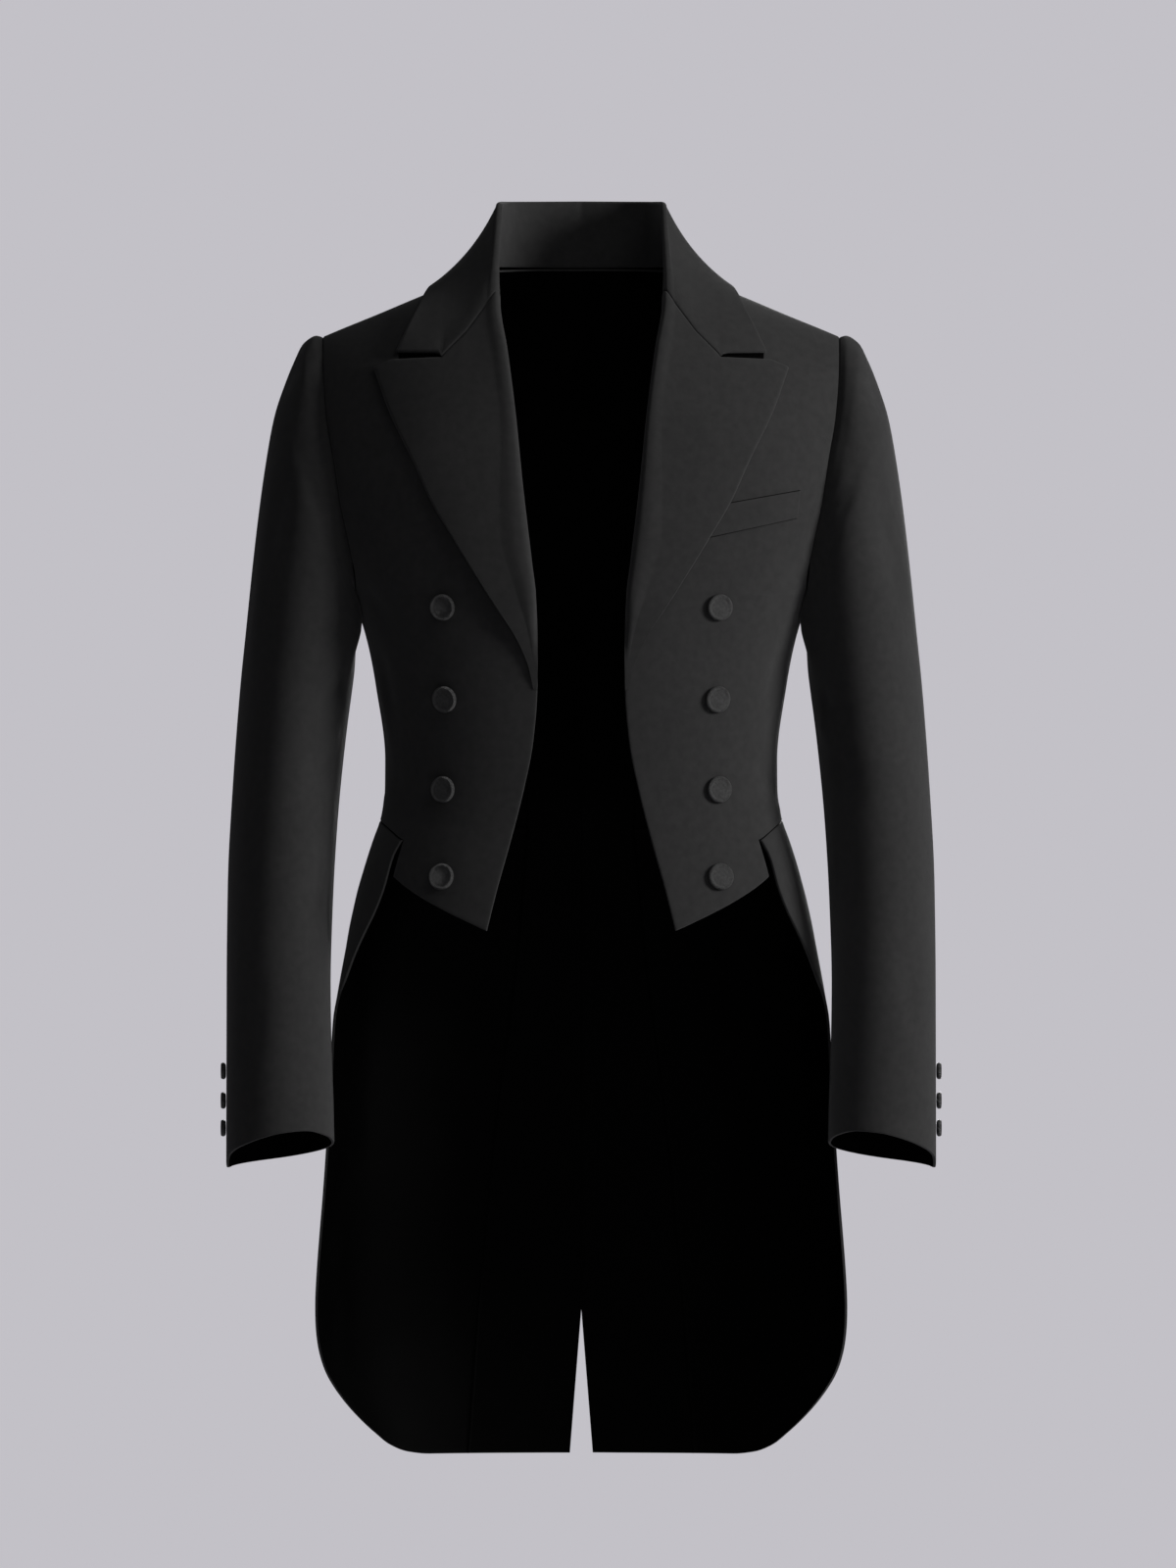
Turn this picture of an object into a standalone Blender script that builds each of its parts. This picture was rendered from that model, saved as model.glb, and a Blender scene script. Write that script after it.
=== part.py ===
"""Tailcoat with peak lapels, kept in its worn form and empty inside.

Frame: +X is the wearer's left, the front faces -Y, +Z is up. The origin is
the middle of the neck opening at shoulder height. All sizes are metres.
"""
import math

import bmesh
import bpy
import numpy as np
from mathutils import Matrix, Vector

MM = 0.001
WALL = 2.0 * MM
LAID_WALL = 1.8 * MM
LAID_LIFT = 2.6 * MM
HALF_SEAM = 0.16 * MM
SQUARENESS = 2.4
SHOULDER_ROUND = 140.0 * MM
SEAT_GAP = 0.5 * MM
EDGE_SETBACK = 2.5 * MM
VENT_LIFT = 2.8 * MM
VENT_LAP = 28.0 * MM
VENT_CLOSE = -0.8635
HEM = -0.985
UNDERARM = -0.265
SHOULDER_TIP = (0.2165, -0.0443)
FRONT_BUTTON_RADIUS = 11.5 * MM
CUFF_BUTTON_RADIUS = 7.0 * MM

# height, half width, front depth, back depth of the worn form, mm
BODY = [
    (-985, 228.0, 118.0, 160.0), (-885, 226.0, 118.0, 157.0), (-858, 225.0, 118.0, 155.0),
    (-827, 222.9, 117.5, 153.0), (-791, 219.8, 117.0, 151.0), (-764, 217.3, 116.5, 149.0),
    (-720, 213.9, 116.0, 146.0), (-670, 210.8, 115.5, 141.0), (-615, 207.6, 115.0, 134.0),
    (-596, 204.4, 114.5, 131.0), (-562, 198.2, 113.0, 125.0), (-540, 193.8, 112.0, 121.0),
    (-521, 189.4, 110.5, 117.0), (-490, 182.0, 108.0, 110.0), (-466, 174.5, 106.0, 105.0),
    (-445, 167.3, 105.0, 101.0), (-422, 164.2, 105.5, 99.0), (-398, 164.0, 107.0, 100.0),
    (-336, 171.8, 114.0, 110.0), (-309, 176.7, 117.5, 115.0), (-285, 182.9, 120.0, 119.0),
    (-275, 186.3, 120.3, 120.5), (-265, 190.0, 120.5, 121.5), (-250, 196.5, 121.0, 123.0),
    (-220, 205.5, 121.0, 125.0), (-190, 214.0, 120.0, 126.0), (-155, 222.0, 117.0, 125.0),
    (-110, 228.0, 112.0, 120.0), (-73, 232.0, 106.0, 113.0), (-44, 235.0, 100.0, 106.0),
    (0, 240.0, 92.0, 95.0), (60, 245.0, 80.0, 80.0),
]
# distance from the middle, height of the shoulder line, mm
SHOULDER = [
    (0, 46.0), (30, 40.0), (50, 30.0), (80, 12.0), (100, 3.5), (124, -5.5),
    (170, -24.8), (216.5, -44.3), (240, -56.0),
]
# height, distance of the folded front edge from the middle, mm
FRONT_EDGE = [
    (-540, 78.6), (-506, 70.1), (-465, 58.6), (-423, 47.8), (-384, 40.1), (-344, 36.6),
    (-307, 35.8), (-261, 37.4), (-236, 40.4), (-168, 48.4), (-108, 54.5), (-56.6, 61.3),
    (-16.4, 67.6), (24.6, 68.1), (69, 65.6),
]
# height, distance of the armhole seam from the middle in front and behind, mm
ARMHOLE = [
    (-265, 190.0, 190.0), (-261, 189.4, 190.2), (-252.6, 188.6, 191.0), (-222, 193.5, 197.5),
    (-187, 200.9, 204.0), (-145, 207.5, 209.0), (-110.7, 213.2, 213.5), (-73, 216.0, 216.0),
    (-44.3, 216.5, 216.5),
]
# distance from the middle, height of the lapel's outer edge from its foot to the peak, mm
LAPEL_EDGE = [
    (39.6, -340.3), (41.2, -331.5), (43.6, -320.6), (46.9, -311.6), (54.1, -296.0),
    (69.7, -271.4), (87.7, -242.7), (106.6, -211.6), (123.0, -184.5), (139.4, -149.2),
    (158.3, -109.9), (171.8, -72.8),
]
# distance from the middle, height of the gorge seam from the roll to the notch, mm
GORGE = [(68.0, -8.2), (79.5, -24.2), (94.3, -43.9), (113.6, -63.2)]
LAPEL_TOP = [(113.6, -65.2), (156.6, -66.6), (171.8, -72.8)]
COLLAR_TIP = [(113.6, -63.2), (120.0, -61.3), (153.3, -60.7)]
# height, distance of the skirt's front edge from the middle, degrees round from the front
SKIRT_EDGE = [
    (-463.0, 149.6, 0), (-479.7, 158.3, 0), (-498.6, 163.4, 0), (-521.5, 171.6, 0),
    (-541.2, 181.2, 0), (-558.4, 189.2, 0), (-581.4, 198.0, 0), (-606.0, 0, 87.5),
    (-640.0, 0, 91.5), (-720.0, 0, 95.0), (-800.0, 0, 97.5), (-840.0, 0, 99.0),
    (-866.0, 0, 101.5), (-885.0, 0, 105.0), (-910.2, 0, 112.3), (-929.1, 0, 119.5),
]
SKIRT_HEM = [
    (-929.1, 0, 119.5), (-949.6, 0, 127.2), (-966.0, 0, 133.5), (-977.0, 0, 138.0),
    (-983.0, 0, 142.5), (-985.0, 0, 147.5), (-985.0, 0, 155.5),
]
# height, distance from the middle behind of the side body's seam, mm
BLADE_SEAM = [
    (-455, 45.0), (-420, 46.5), (-380, 51.0), (-330, 66.0), (-285, 93.0), (-245, 130.0),
    (-212, 172.0), (-187, 204.0),
]
# height, distance from the middle behind of the skirt's pleat line, mm
PLEAT = [(-985, 96.0), (-860, 87.0), (-700, 72.0), (-560, 54.0), (-455, 45.0)]
# outer x, outer z, inner x, inner z, middle y, half depth of each sleeve section, mm
SLEEVE = [
    (217.0, -43.6, 190.4, -265.4, 1.0, 55.0), (222.3, -42.4, 190.6, -268.5, 1.0, 58.0),
    (232.1, -48.4, 190.0, -273.5, 1.0, 62.0), (240.7, -64.8, 189.2, -279.5, 1.0, 66.0),
    (249.3, -86.9, 188.6, -286.5, 1.0, 69.0), (257.1, -112.3, 188.4, -295.0, 0.5, 71.5),
    (264.2, -151.7, 188.8, -308.0, 0.0, 72.5), (270.2, -195.0, 189.6, -323.0, -1.0, 72.0),
    (274.9, -236.2, 191.6, -340.0, -2.5, 71.0), (280.4, -290.3, 194.8, -364.0, -5.0, 69.0),
    (285.0, -336.2, 198.2, -393.0, -8.0, 67.0), (291.1, -418.2, 203.4, -448.0, -13.0, 63.0),
    (295.2, -500.2, 207.2, -514.0, -19.5, 58.5), (296.0, -582.2, 209.1, -582.2, -27.0, 54.0),
    (296.0, -640.0, 208.2, -640.0, -33.0, 51.0), (296.0, -690.0, 206.6, -682.0, -38.0, 49.0),
]
SLEEVE_FOOT = (296.0, 205.8, -41.0, 48.0)
# the sleeve's soft bulge towards the body below the armhole: size, degrees, spread
GATHER = (10.0 * MM, 150.0, 16.0)
GATHER_CLEAR = 1.4 * MM
# degrees round the sleeve from its outer side through its front, height of the hem, mm
CUFF_HEM = [
    (-14, -737.5), (-6, -738.0), (0, -736.0), (12, -729.0), (25, -724.5), (45, -719.0),
    (70, -712.6), (92, -708.4), (120, -706.5), (150, -710.5), (180, -717.0), (220, -724.0),
    (270, -731.0), (320, -735.5), (346, -737.5),
]
HINDARM_SEAM = -14.0
FOREARM_SEAM = 172.0
# side along the collar, roll x, y, z, mm
COLLAR_ROLL = [
    (0.0, 68.0, -58.0, -8.2), (0.18, 68.2, -38.0, 20.0), (0.34, 67.2, -18.0, 48.0),
    (0.5, 65.6, 5.0, 68.9), (0.66, 56.0, 36.0, 70.5), (0.82, 32.0, 57.0, 71.5),
    (1.0, 0.0, 65.0, 72.0),
]
# side along the collar, outer edge x, z, mm, behind when past the middle
COLLAR_EDGE = [
    (0.0, 153.3, -60.7), (0.18, 144.5, -42.0), (0.34, 134.5, -22.5), (0.5, 124.2, -5.5),
    (0.66, 109.0, -16.0), (0.82, 66.0, -17.0), (1.0, 0.0, -11.0),
]
COLLAR_EDGE_SHARES = [0.0, 0.09, 0.18, 0.26, 0.34, 0.42, 0.5, 0.66, 0.74, 0.82, 0.91, 1.0]
# side along the collar, neck seam x, z, mm, behind when past the middle
NECKLINE = [
    (0.0, 70.3, -14.0), (0.18, 71.4, -2.0), (0.34, 75.0, 8.5), (0.5, 80.0, 12.0),
    (0.66, 64.0, 14.5), (0.82, 36.0, 15.0), (1.0, 0.0, 15.0),
]
# side along the collar, degrees its fall faces outward from the side
COLLAR_BEARING = [(0.0, 0.0), (0.34, 0.0), (0.5, 8.0), (0.66, 38.0), (0.82, 66.0), (1.0, 90.0)]
COLLAR_ROWS = [0.09, 0.18, 0.27, 0.36, 0.44, 0.5, 0.56, 0.62, 0.68, 0.74, 0.80, 0.85, 0.90, 0.95, 1.0]
# distance from the roll, height above the front, of a lapel's rolled edge, mm
ROLL = [(0.25, -1.7), (0.0, 0.5), (0.9, 2.9), (3.4, 4.6), (8.0, 5.1), (15.0, 4.5)]
FRONT_BUTTONS = [(114.4, -271.6), (112.7, -347.7), (114.0, -422.7), (115.4, -495.3)]
CUFF_BUTTONS = [-657.6, -682.2, -705.2]
WELT = [(107.4, -213.8), (179.6, -197.6), (182.0, -173.8), (126.3, -184.0)]


def clear_scene():
    """Start from an empty scene."""
    for item in list(bpy.data.objects):
        bpy.data.objects.remove(item, do_unlink=True)


def cloth_material(name, colour, roughness):
    """Plain matte cloth of one colour."""
    material = bpy.data.materials.new(name)
    material.use_nodes = True
    shader = material.node_tree.nodes["Principled BSDF"]
    shader.inputs["Base Color"].default_value = (*colour, 1.0)
    shader.inputs["Roughness"].default_value = roughness
    shader.inputs["Metallic"].default_value = 0.0
    return material


def slopes(knots, values):
    """Slopes at the knots that keep a smooth run free of overshoot."""
    step = np.diff(knots)
    rise = np.diff(values) / step
    slope = np.zeros(len(knots))
    slope[0] = rise[0]
    slope[-1] = rise[-1]
    for place in range(1, len(knots) - 1):
        before = rise[place - 1]
        after = rise[place]
        if before * after > 0.0:
            first = 2.0 * step[place] + step[place - 1]
            second = step[place] + 2.0 * step[place - 1]
            slope[place] = (first + second) / (first / before + second / after)
    return slope


class Run:
    """A smooth run of several columns against one rising column."""

    def __init__(self, knots, columns):
        self.knots = np.array(knots, dtype=float)
        self.columns = np.array(columns, dtype=float)
        self.slopes = [slopes(self.knots, column) for column in self.columns]

    def at(self, where):
        """Every column at one place."""
        where = min(max(where, self.knots[0]), self.knots[-1])
        place = int(np.searchsorted(self.knots, where, side="right")) - 1
        place = min(max(place, 0), len(self.knots) - 2)
        step = self.knots[place + 1] - self.knots[place]
        part = (where - self.knots[place]) / step
        weight_a = (1.0 + 2.0 * part) * (1.0 - part) ** 2
        weight_b = part * (1.0 - part) ** 2
        weight_c = part * part * (3.0 - 2.0 * part)
        weight_d = part * part * (part - 1.0)
        found = []
        for column, slope in zip(self.columns, self.slopes):
            value = weight_a * column[place] + weight_c * column[place + 1]
            value += step * (weight_b * slope[place] + weight_d * slope[place + 1])
            found.append(value)
        return found


def run_of(rows, key=0):
    """A run from rows in millimetres, keyed by one of their columns."""
    rows = sorted(rows, key=lambda row: row[key])
    knots = [row[key] * MM for row in rows]
    others = [place for place in range(len(rows[0])) if place != key]
    return Run(knots, [[row[place] * MM for row in rows] for place in others])


def share_run(rows):
    """A run keyed by a share from 0 to 1, other columns in millimetres."""
    columns = [[row[place] * MM for row in rows] for place in range(1, len(rows[0]))]
    return Run([row[0] for row in rows], columns)


body_run = run_of(BODY)
shoulder_run = run_of(SHOULDER)
front_edge_run = run_of(FRONT_EDGE)
armhole_run = run_of(ARMHOLE)
bearing_run = Run([row[0] for row in COLLAR_BEARING], [[row[1] for row in COLLAR_BEARING]])


def smooth(value):
    """Ease a share from 0 to 1."""
    value = min(max(value, 0.0), 1.0)
    return value * value * (3.0 - 2.0 * value)


def round_over(drop):
    """How far the form has come out to its full depth below the shoulder."""
    share = min(max(drop / SHOULDER_ROUND, 0.0), 1.0)
    return math.sqrt(1.0 - (1.0 - share) ** 2)


def form(angle, height):
    """Point of the worn form; the angle runs from the front round the left side."""
    half, front, back = body_run.at(height)
    across = math.sin(angle)
    along = math.cos(angle)
    reach = (abs(across) ** SQUARENESS + abs(along) ** SQUARENESS) ** (-1.0 / SQUARENESS)
    place_x = half * reach * across
    behind = smooth((abs(math.degrees(angle)) - 60.0) / 60.0)
    depth = front + (back - front) * behind
    drop = shoulder_run.at(abs(place_x))[0] - height
    return Vector((place_x, -depth * reach * along * round_over(drop), height))


def form_normal(angle, height):
    """Outward direction of the worn form."""
    turn = 0.002
    rise = 0.0004
    around = form(angle + turn, height) - form(angle - turn, height)
    up = form(angle, height + rise) - form(angle, height - rise)
    normal = around.cross(up)
    place = form(angle, height)
    if shoulder_run.at(abs(place.x))[0] - height < 0.3 * MM:
        normal.y = 0.0
    return normal.normalized()


def angle_of(place_x, height, behind):
    """Angle of the form where it reaches a distance from the middle."""
    half = body_run.at(height)[0]
    share = min(abs(place_x) / half, 0.99999) ** SQUARENESS
    angle = math.atan((share / (1.0 - share)) ** (1.0 / SQUARENESS))
    angle = math.copysign(angle, place_x) if place_x else 0.0
    return math.pi - angle if behind else angle


def spot(row, behind):
    """Angle and height of a table row of distance and height."""
    return (angle_of(row[0] * MM, row[1] * MM, behind), row[1] * MM)


def spaced(spots, count):
    """Spots resampled evenly by length along a line of close spots."""
    line = np.array(spots, dtype=float)
    length = np.linalg.norm(np.diff(line * np.array([0.16, 1.0]), axis=0), axis=1)
    knots = np.concatenate([[0.0], np.cumsum(length)])
    places = np.linspace(0.0, knots[-1], count + 1)
    angles = np.interp(places, knots, line[:, 0])
    heights = np.interp(places, knots, line[:, 1])
    return list(zip(angles.tolist(), heights.tolist()))


def spread_net(foot, top, near, far):
    """Angles and heights of a net spread between four borders of listed spots."""
    columns = len(foot) - 1
    rows = len(near) - 1
    foot, top, near, far = [np.array(border, dtype=float) for border in (foot, top, near, far)]
    net = []
    for row in range(rows + 1):
        up = row / rows
        line = []
        for column in range(columns + 1):
            over = column / columns
            spot = (1.0 - up) * foot[column] + up * top[column]
            spot = spot + (1.0 - over) * near[row] + over * far[row]
            spot = spot - (1.0 - over) * (1.0 - up) * foot[0] - over * (1.0 - up) * foot[-1]
            spot = spot - (1.0 - over) * up * top[0] - over * up * top[-1]
            line.append((float(spot[0]), float(spot[1])))
        net.append(line)
    return net


def even(count, start=0.0, end=1.0):
    """Even shares from start to end."""
    return [start + (end - start) * step / count for step in range(count + 1)]


def on_form(net, lift=None):
    """Points and outward directions of a net, lifted where asked."""
    points = []
    normals = []
    for line in net:
        point_line = []
        normal_line = []
        for angle, height in line:
            point = form(angle, height)
            normal = form_normal(angle, height)
            if lift:
                point = point + normal * lift(point)
            point_line.append(point)
            normal_line.append(normal)
        points.append(point_line)
        normals.append(normal_line)
    return points, normals


def pull_in(points, side, amount=HALF_SEAM):
    """Draw one border of a net back from its seam."""
    rows = len(points)
    if side in ("foot", "top"):
        row = 0 if side == "foot" else rows - 1
        step = 1 if side == "foot" else -1
        for place in range(len(points[row])):
            inward = points[row + step][place] - points[row][place]
            points[row][place] = points[row][place] + inward.normalized() * amount
    else:
        for line in points:
            place = 0 if side == "near" else len(line) - 1
            step = 1 if side == "near" else -1
            inward = line[place + step] - line[place]
            line[place] = line[place] + inward.normalized() * amount


def net_normals(points):
    """Outward directions of a free net, rows by columns."""
    rows = len(points)
    count = len(points[0])
    found = []
    for row in range(rows):
        line = []
        for place in range(count):
            along = points[row][min(place + 1, count - 1)] - points[row][max(place - 1, 0)]
            up = points[min(row + 1, rows - 1)][place] - points[max(row - 1, 0)][place]
            line.append(along.cross(up).normalized())
        found.append(line)
    return found


def mirrored(net):
    """A net of points or directions turned to the wearer's right."""
    return [[Vector((-item.x, item.y, item.z)) for item in line] for line in net]


def new_object(name, mesh, material, collection):
    """Put a finished mesh in the coat."""
    data = bpy.data.meshes.new(name)
    bmesh.ops.recalc_face_normals(mesh, faces=mesh.faces[:])
    mesh.to_mesh(data)
    mesh.free()
    data.materials.append(material)
    item = bpy.data.objects.new(name, data)
    collection.objects.link(item)
    return item


def cloth(name, points, normals, wall, material, collection):
    """Close a net into a wall of cloth, its outer face on the points."""
    rows = len(points) - 1
    columns = max(len(line) for line in points) - 1
    mesh = bmesh.new()
    bmesh.ops.create_grid(mesh, x_segments=columns, y_segments=rows, size=1.0)
    row_tag = mesh.verts.layers.int.new("row")
    column_tag = mesh.verts.layers.int.new("column")
    spare = []
    for corner in mesh.verts:
        row = round((corner.co.y + 1.0) * 0.5 * rows)
        column = round((corner.co.x + 1.0) * 0.5 * columns)
        corner[row_tag] = row
        corner[column_tag] = column
        if column < len(points[row]):
            corner.co = points[row][column]
        else:
            spare.append(corner)
    bmesh.ops.delete(mesh, geom=spare, context="VERTS")
    geometry = mesh.faces[:] + mesh.edges[:] + mesh.verts[:]
    grown = bmesh.ops.extrude_face_region(mesh, geom=geometry, use_keep_orig=True)
    for item in grown["geom"]:
        if isinstance(item, bmesh.types.BMVert):
            item.co -= normals[item[row_tag]][item[column_tag]] * wall
    return new_object(name, mesh, material, collection)


def both_sides(name, points, normals, wall, materials, collection):
    """One piece for the wearer's left and its mirror for the right."""
    left = name + "_left"
    right = name + "_right"
    cloth(left, points, normals, wall, materials[left], collection)
    cloth(right, mirrored(points), mirrored(normals), wall, materials[right], collection)


def front_edge(height):
    """Distance of the front panel's edge, set back where the lapel rolls over it."""
    under = smooth((height + 0.372) / 0.020)
    return front_edge_run.at(height)[0] + EDGE_SETBACK * under


def armhole_spot(degrees):
    """Angle and height on the armhole, round from the shoulder through the front."""
    middle = 0.5 * (SHOULDER_TIP[1] + UNDERARM)
    height = middle + (SHOULDER_TIP[1] - middle) * math.cos(math.radians(degrees))
    if abs(degrees - 180.0) < 0.01:
        return (SIDE_SEAM, UNDERARM)
    behind = degrees > 180.0
    place_x = armhole_run.at(height)[1 if behind else 0]
    return (angle_of(place_x, height, behind), height)


def waist_height(angle):
    """Height of the waist seam round the body."""
    return waist_run.at(math.degrees(angle))[0]


def front_spot(height):
    """Angle and height on the front edge."""
    return (angle_of(front_edge(height), height, False), height)


def behind_spots(run, start, end, count):
    """Close spots along a seam of the back, from its distances by height."""
    return [(angle_of(run.at(height)[0], height, True), height) for height in even(count, start, end)]


SIDE_SEAM = math.radians(90.0)
# degrees round the body, height of the waist seam
WAIST_SEAM = [
    (50.0, -0.4652), (70.0, -0.4570), (90.0, -0.4480), (120.0, -0.4500), (180.0, -0.4560),
]
waist_run = Run([row[0] for row in WAIST_SEAM], [[row[1] for row in WAIST_SEAM]])
blade_run = run_of(BLADE_SEAM)
pleat_run = run_of(PLEAT)
WAIST_BACK = -0.4555
STRAP_CORNER = angle_of(0.1480, -0.4650, False)
BACK_CORNER = angle_of(0.0450, WAIST_BACK, True)
ARM_FRONT = even(12, 0.0, 180.0)
ARM_UNDER = even(6, 180.0, 253.0)
ARM_BACK = even(7, 253.0, 360.0)
BLADE_TOP = armhole_spot(253.0)
SIDE_SPOTS = [(SIDE_SEAM, height) for height in even(10, waist_height(SIDE_SEAM), UNDERARM)]
BLADE_SPOTS = spaced(behind_spots(blade_run, WAIST_BACK, BLADE_TOP[1], 60)[:-1] + [BLADE_TOP], 10)
PLEAT_SPOTS = spaced(behind_spots(pleat_run, HEM, WAIST_BACK, 60), 16)
WAIST_FRONT = [(angle, waist_height(angle)) for angle in even(5, STRAP_CORNER, SIDE_SEAM)]
WAIST_SIDE = [(angle, waist_height(angle)) for angle in even(6, SIDE_SEAM, BACK_CORNER)]
WAIST_SIDE[-1] = (BACK_CORNER, WAIST_BACK)


def shoulder_spots(count, behind):
    """Angles and heights along the shoulder seam from the neck to its tip."""
    found = []
    for share in even(count):
        place_x = 0.0800 + (SHOULDER_TIP[0] - 0.0800) * share
        height = shoulder_run.at(place_x)[0]
        found.append((angle_of(place_x, height, behind), height))
    found[-1] = armhole_spot(360.0 if behind else 0.0)
    return found


def front_net():
    """Panel rows from the waist to the shoulder."""
    far = SIDE_SPOTS[:-1] + [armhole_spot(degrees) for degrees in ARM_FRONT[::-1]]
    rows = len(far) - 1
    near = [front_spot(height) for height in even(rows, -0.478, 0.0118)]
    top = shoulder_spots(11, False)
    near[-1] = top[0]
    foot_start = spaced([near[0], (STRAP_CORNER, WAIST_FRONT[0][1])], 6)
    return spread_net(foot_start + WAIST_FRONT[1:], top, near, far)


def strap_net(panel):
    """Rows of the strap below the waist, ending on the panel's first row."""
    corner = spot((156.6, -495.3), False)
    top = panel[0][:7]
    near = [front_spot(height) for height in even(4, -0.540, top[0][1])]
    near[-1] = top[0]
    far = spaced([corner, top[-1]], 4)
    return spread_net(spaced([near[0], corner], 6), top, near, far)[:-1]


def make_fronts(materials, collection):
    """Front panels from the shoulder to the strap below the waist."""
    panel = front_net()
    points, normals = on_form(strap_net(panel) + panel)
    for place in range(7, len(points[4])):
        inward = points[5][place] - points[4][place]
        points[4][place] = points[4][place] + inward.normalized() * HALF_SEAM
    for line in points[4:]:
        line[-1] = line[-1] + (line[-2] - line[-1]).normalized() * HALF_SEAM
    for point in points[-1]:
        point.y -= HALF_SEAM
    both_sides("front", points, normals, WALL, materials, collection)


def make_side_bodies(materials, collection):
    """Side bodies from the waist seam to the armhole."""
    top = [armhole_spot(degrees) for degrees in ARM_UNDER]
    net = spread_net(WAIST_SIDE, top, SIDE_SPOTS, BLADE_SPOTS)
    points, normals = on_form(net)
    for side in ("near", "far", "foot", "top"):
        pull_in(points, side)
    both_sides("side_body", points, normals, WALL, materials, collection)


def back_net(lap):
    """A back piece from the neck to the hem; lap is how far it crosses the middle."""
    heights = [-0.985, -0.957, -0.927, -0.896, -0.8635, -0.826, -0.786, -0.746, -0.706]
    heights += [-0.664, -0.622, -0.580, -0.540, -0.505, -0.472, -0.465]
    heights += even(17, -0.450, 0.015)
    near = []
    for height in heights:
        if height < VENT_CLOSE:
            place_x = 9.7 * MM * (VENT_CLOSE - height) / (VENT_CLOSE - HEM)
        else:
            place_x = -lap * (height - VENT_CLOSE) / (-0.472 - VENT_CLOSE)
        if height > -0.470:
            place_x = 0.0
        near.append((angle_of(place_x, height, True), height))
    far = PLEAT_SPOTS + BLADE_SPOTS[1:] + [armhole_spot(degrees) for degrees in ARM_BACK[1:]]
    top = []
    for place_x in [0.0, 0.021, 0.042, 0.062]:
        height = 0.015 - 0.003 * (place_x / 0.080) ** 3
        top.append((angle_of(place_x, height, True), height))
    top += shoulder_spots(5, True)
    foot = spaced([near[0], far[0]], len(top) - 1)
    return spread_net(foot, top, near, far)


def vent_lift(point):
    """Lift of the lapping side near the middle of the back."""
    down = smooth((-0.432 - point.z) / 0.028)
    centre = 1.0 - smooth((point.x - 0.004) / 0.034)
    return VENT_LIFT * down * centre


def make_backs(materials, collection):
    """Back pieces; the left laps over the right below the waist."""
    for side, lap in (("back_left", VENT_LAP), ("back_right", 0.0)):
        lift = vent_lift if lap else None
        points, normals = on_form(back_net(lap), lift)
        pull_in(points, "near")
        pull_in(points, "far")
        for point in points[-1]:
            if point.x > 0.0795:
                point.y += HALF_SEAM
        if not lap:
            points = mirrored(points)
            normals = mirrored(normals)
        cloth(side, points, normals, WALL, materials[side], collection)


def skirt_spots(rows):
    """Angles and heights of the skirt's free edge."""
    found = []
    for height, place_x, degrees in rows:
        angle = math.radians(degrees) if degrees else angle_of(place_x * MM, height * MM, False)
        found.append((angle, height * MM))
    return found


def make_skirts(materials, collection):
    """Tails from the waist seam, the front edge cut away to a round corner."""
    near = skirt_spots(SKIRT_EDGE)[::-1]
    near[-1] = (near[-1][0], waist_height(near[-1][0]))
    top = [near[-1]] + WAIST_FRONT[1:] + WAIST_SIDE[1:]
    foot = spaced(skirt_spots(SKIRT_HEM)[:-1] + [PLEAT_SPOTS[0]], len(top) - 1)
    net = spread_net(foot, top, spaced(near, len(PLEAT_SPOTS) - 1), PLEAT_SPOTS)
    points, normals = on_form(net)
    pull_in(points, "top")
    pull_in(points, "far")
    both_sides("skirt", points, normals, WALL, materials, collection)


def arm_columns():
    """Places round the armhole and final degrees of every sleeve column."""
    top_start = [degrees - 360.0 for degrees in ARM_BACK[4:7]] + ARM_FRONT
    under_start = ARM_UNDER + ARM_BACK[1:5]
    top_end = even(len(top_start) - 1, HINDARM_SEAM, FOREARM_SEAM)
    under_end = even(len(under_start) - 1, FOREARM_SEAM, HINDARM_SEAM + 360.0)
    return top_start + under_start[1:], top_end + under_end[1:], len(top_start)


def sleeve_point(start, end, row):
    """Point of the sleeve's outer face at one column and section."""
    outer_x, outer_z, inner_x, inner_z, middle_y, depth = [value * MM for value in SLEEVE[row]]
    degrees = start + (end - start) * smooth(row / 9.0)
    turn = math.radians(degrees)
    place_x = 0.5 * (outer_x + inner_x) + 0.5 * (outer_x - inner_x) * math.cos(turn)
    place_z = 0.5 * (outer_z + inner_z) + 0.5 * (outer_z - inner_z) * math.cos(turn)
    return Vector((place_x, middle_y - depth * math.sin(turn), place_z))


def gathered(point, start, row):
    """A sleeve point drawn towards the body below the front of the armhole, clear of it."""
    size, middle, spread = GATHER
    if row == 0 or row > 7 or abs(start - middle) > 40.0 or start >= 179.0:
        return point
    near = math.exp(-((start - middle) / spread) ** 2)
    share = near * smooth((row - 1.0) / 4.0) * (1.0 - smooth((row - 5.2) / 2.8))
    moved = point - Vector((size * share, 0.0, 0.0))
    angle = angle_of(moved.x, moved.z, False)
    normal = form_normal(angle, moved.z)
    off = (moved - form(angle, moved.z)).dot(normal)
    return moved + normal * max(GATHER_CLEAR - off, 0.0)


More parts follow.
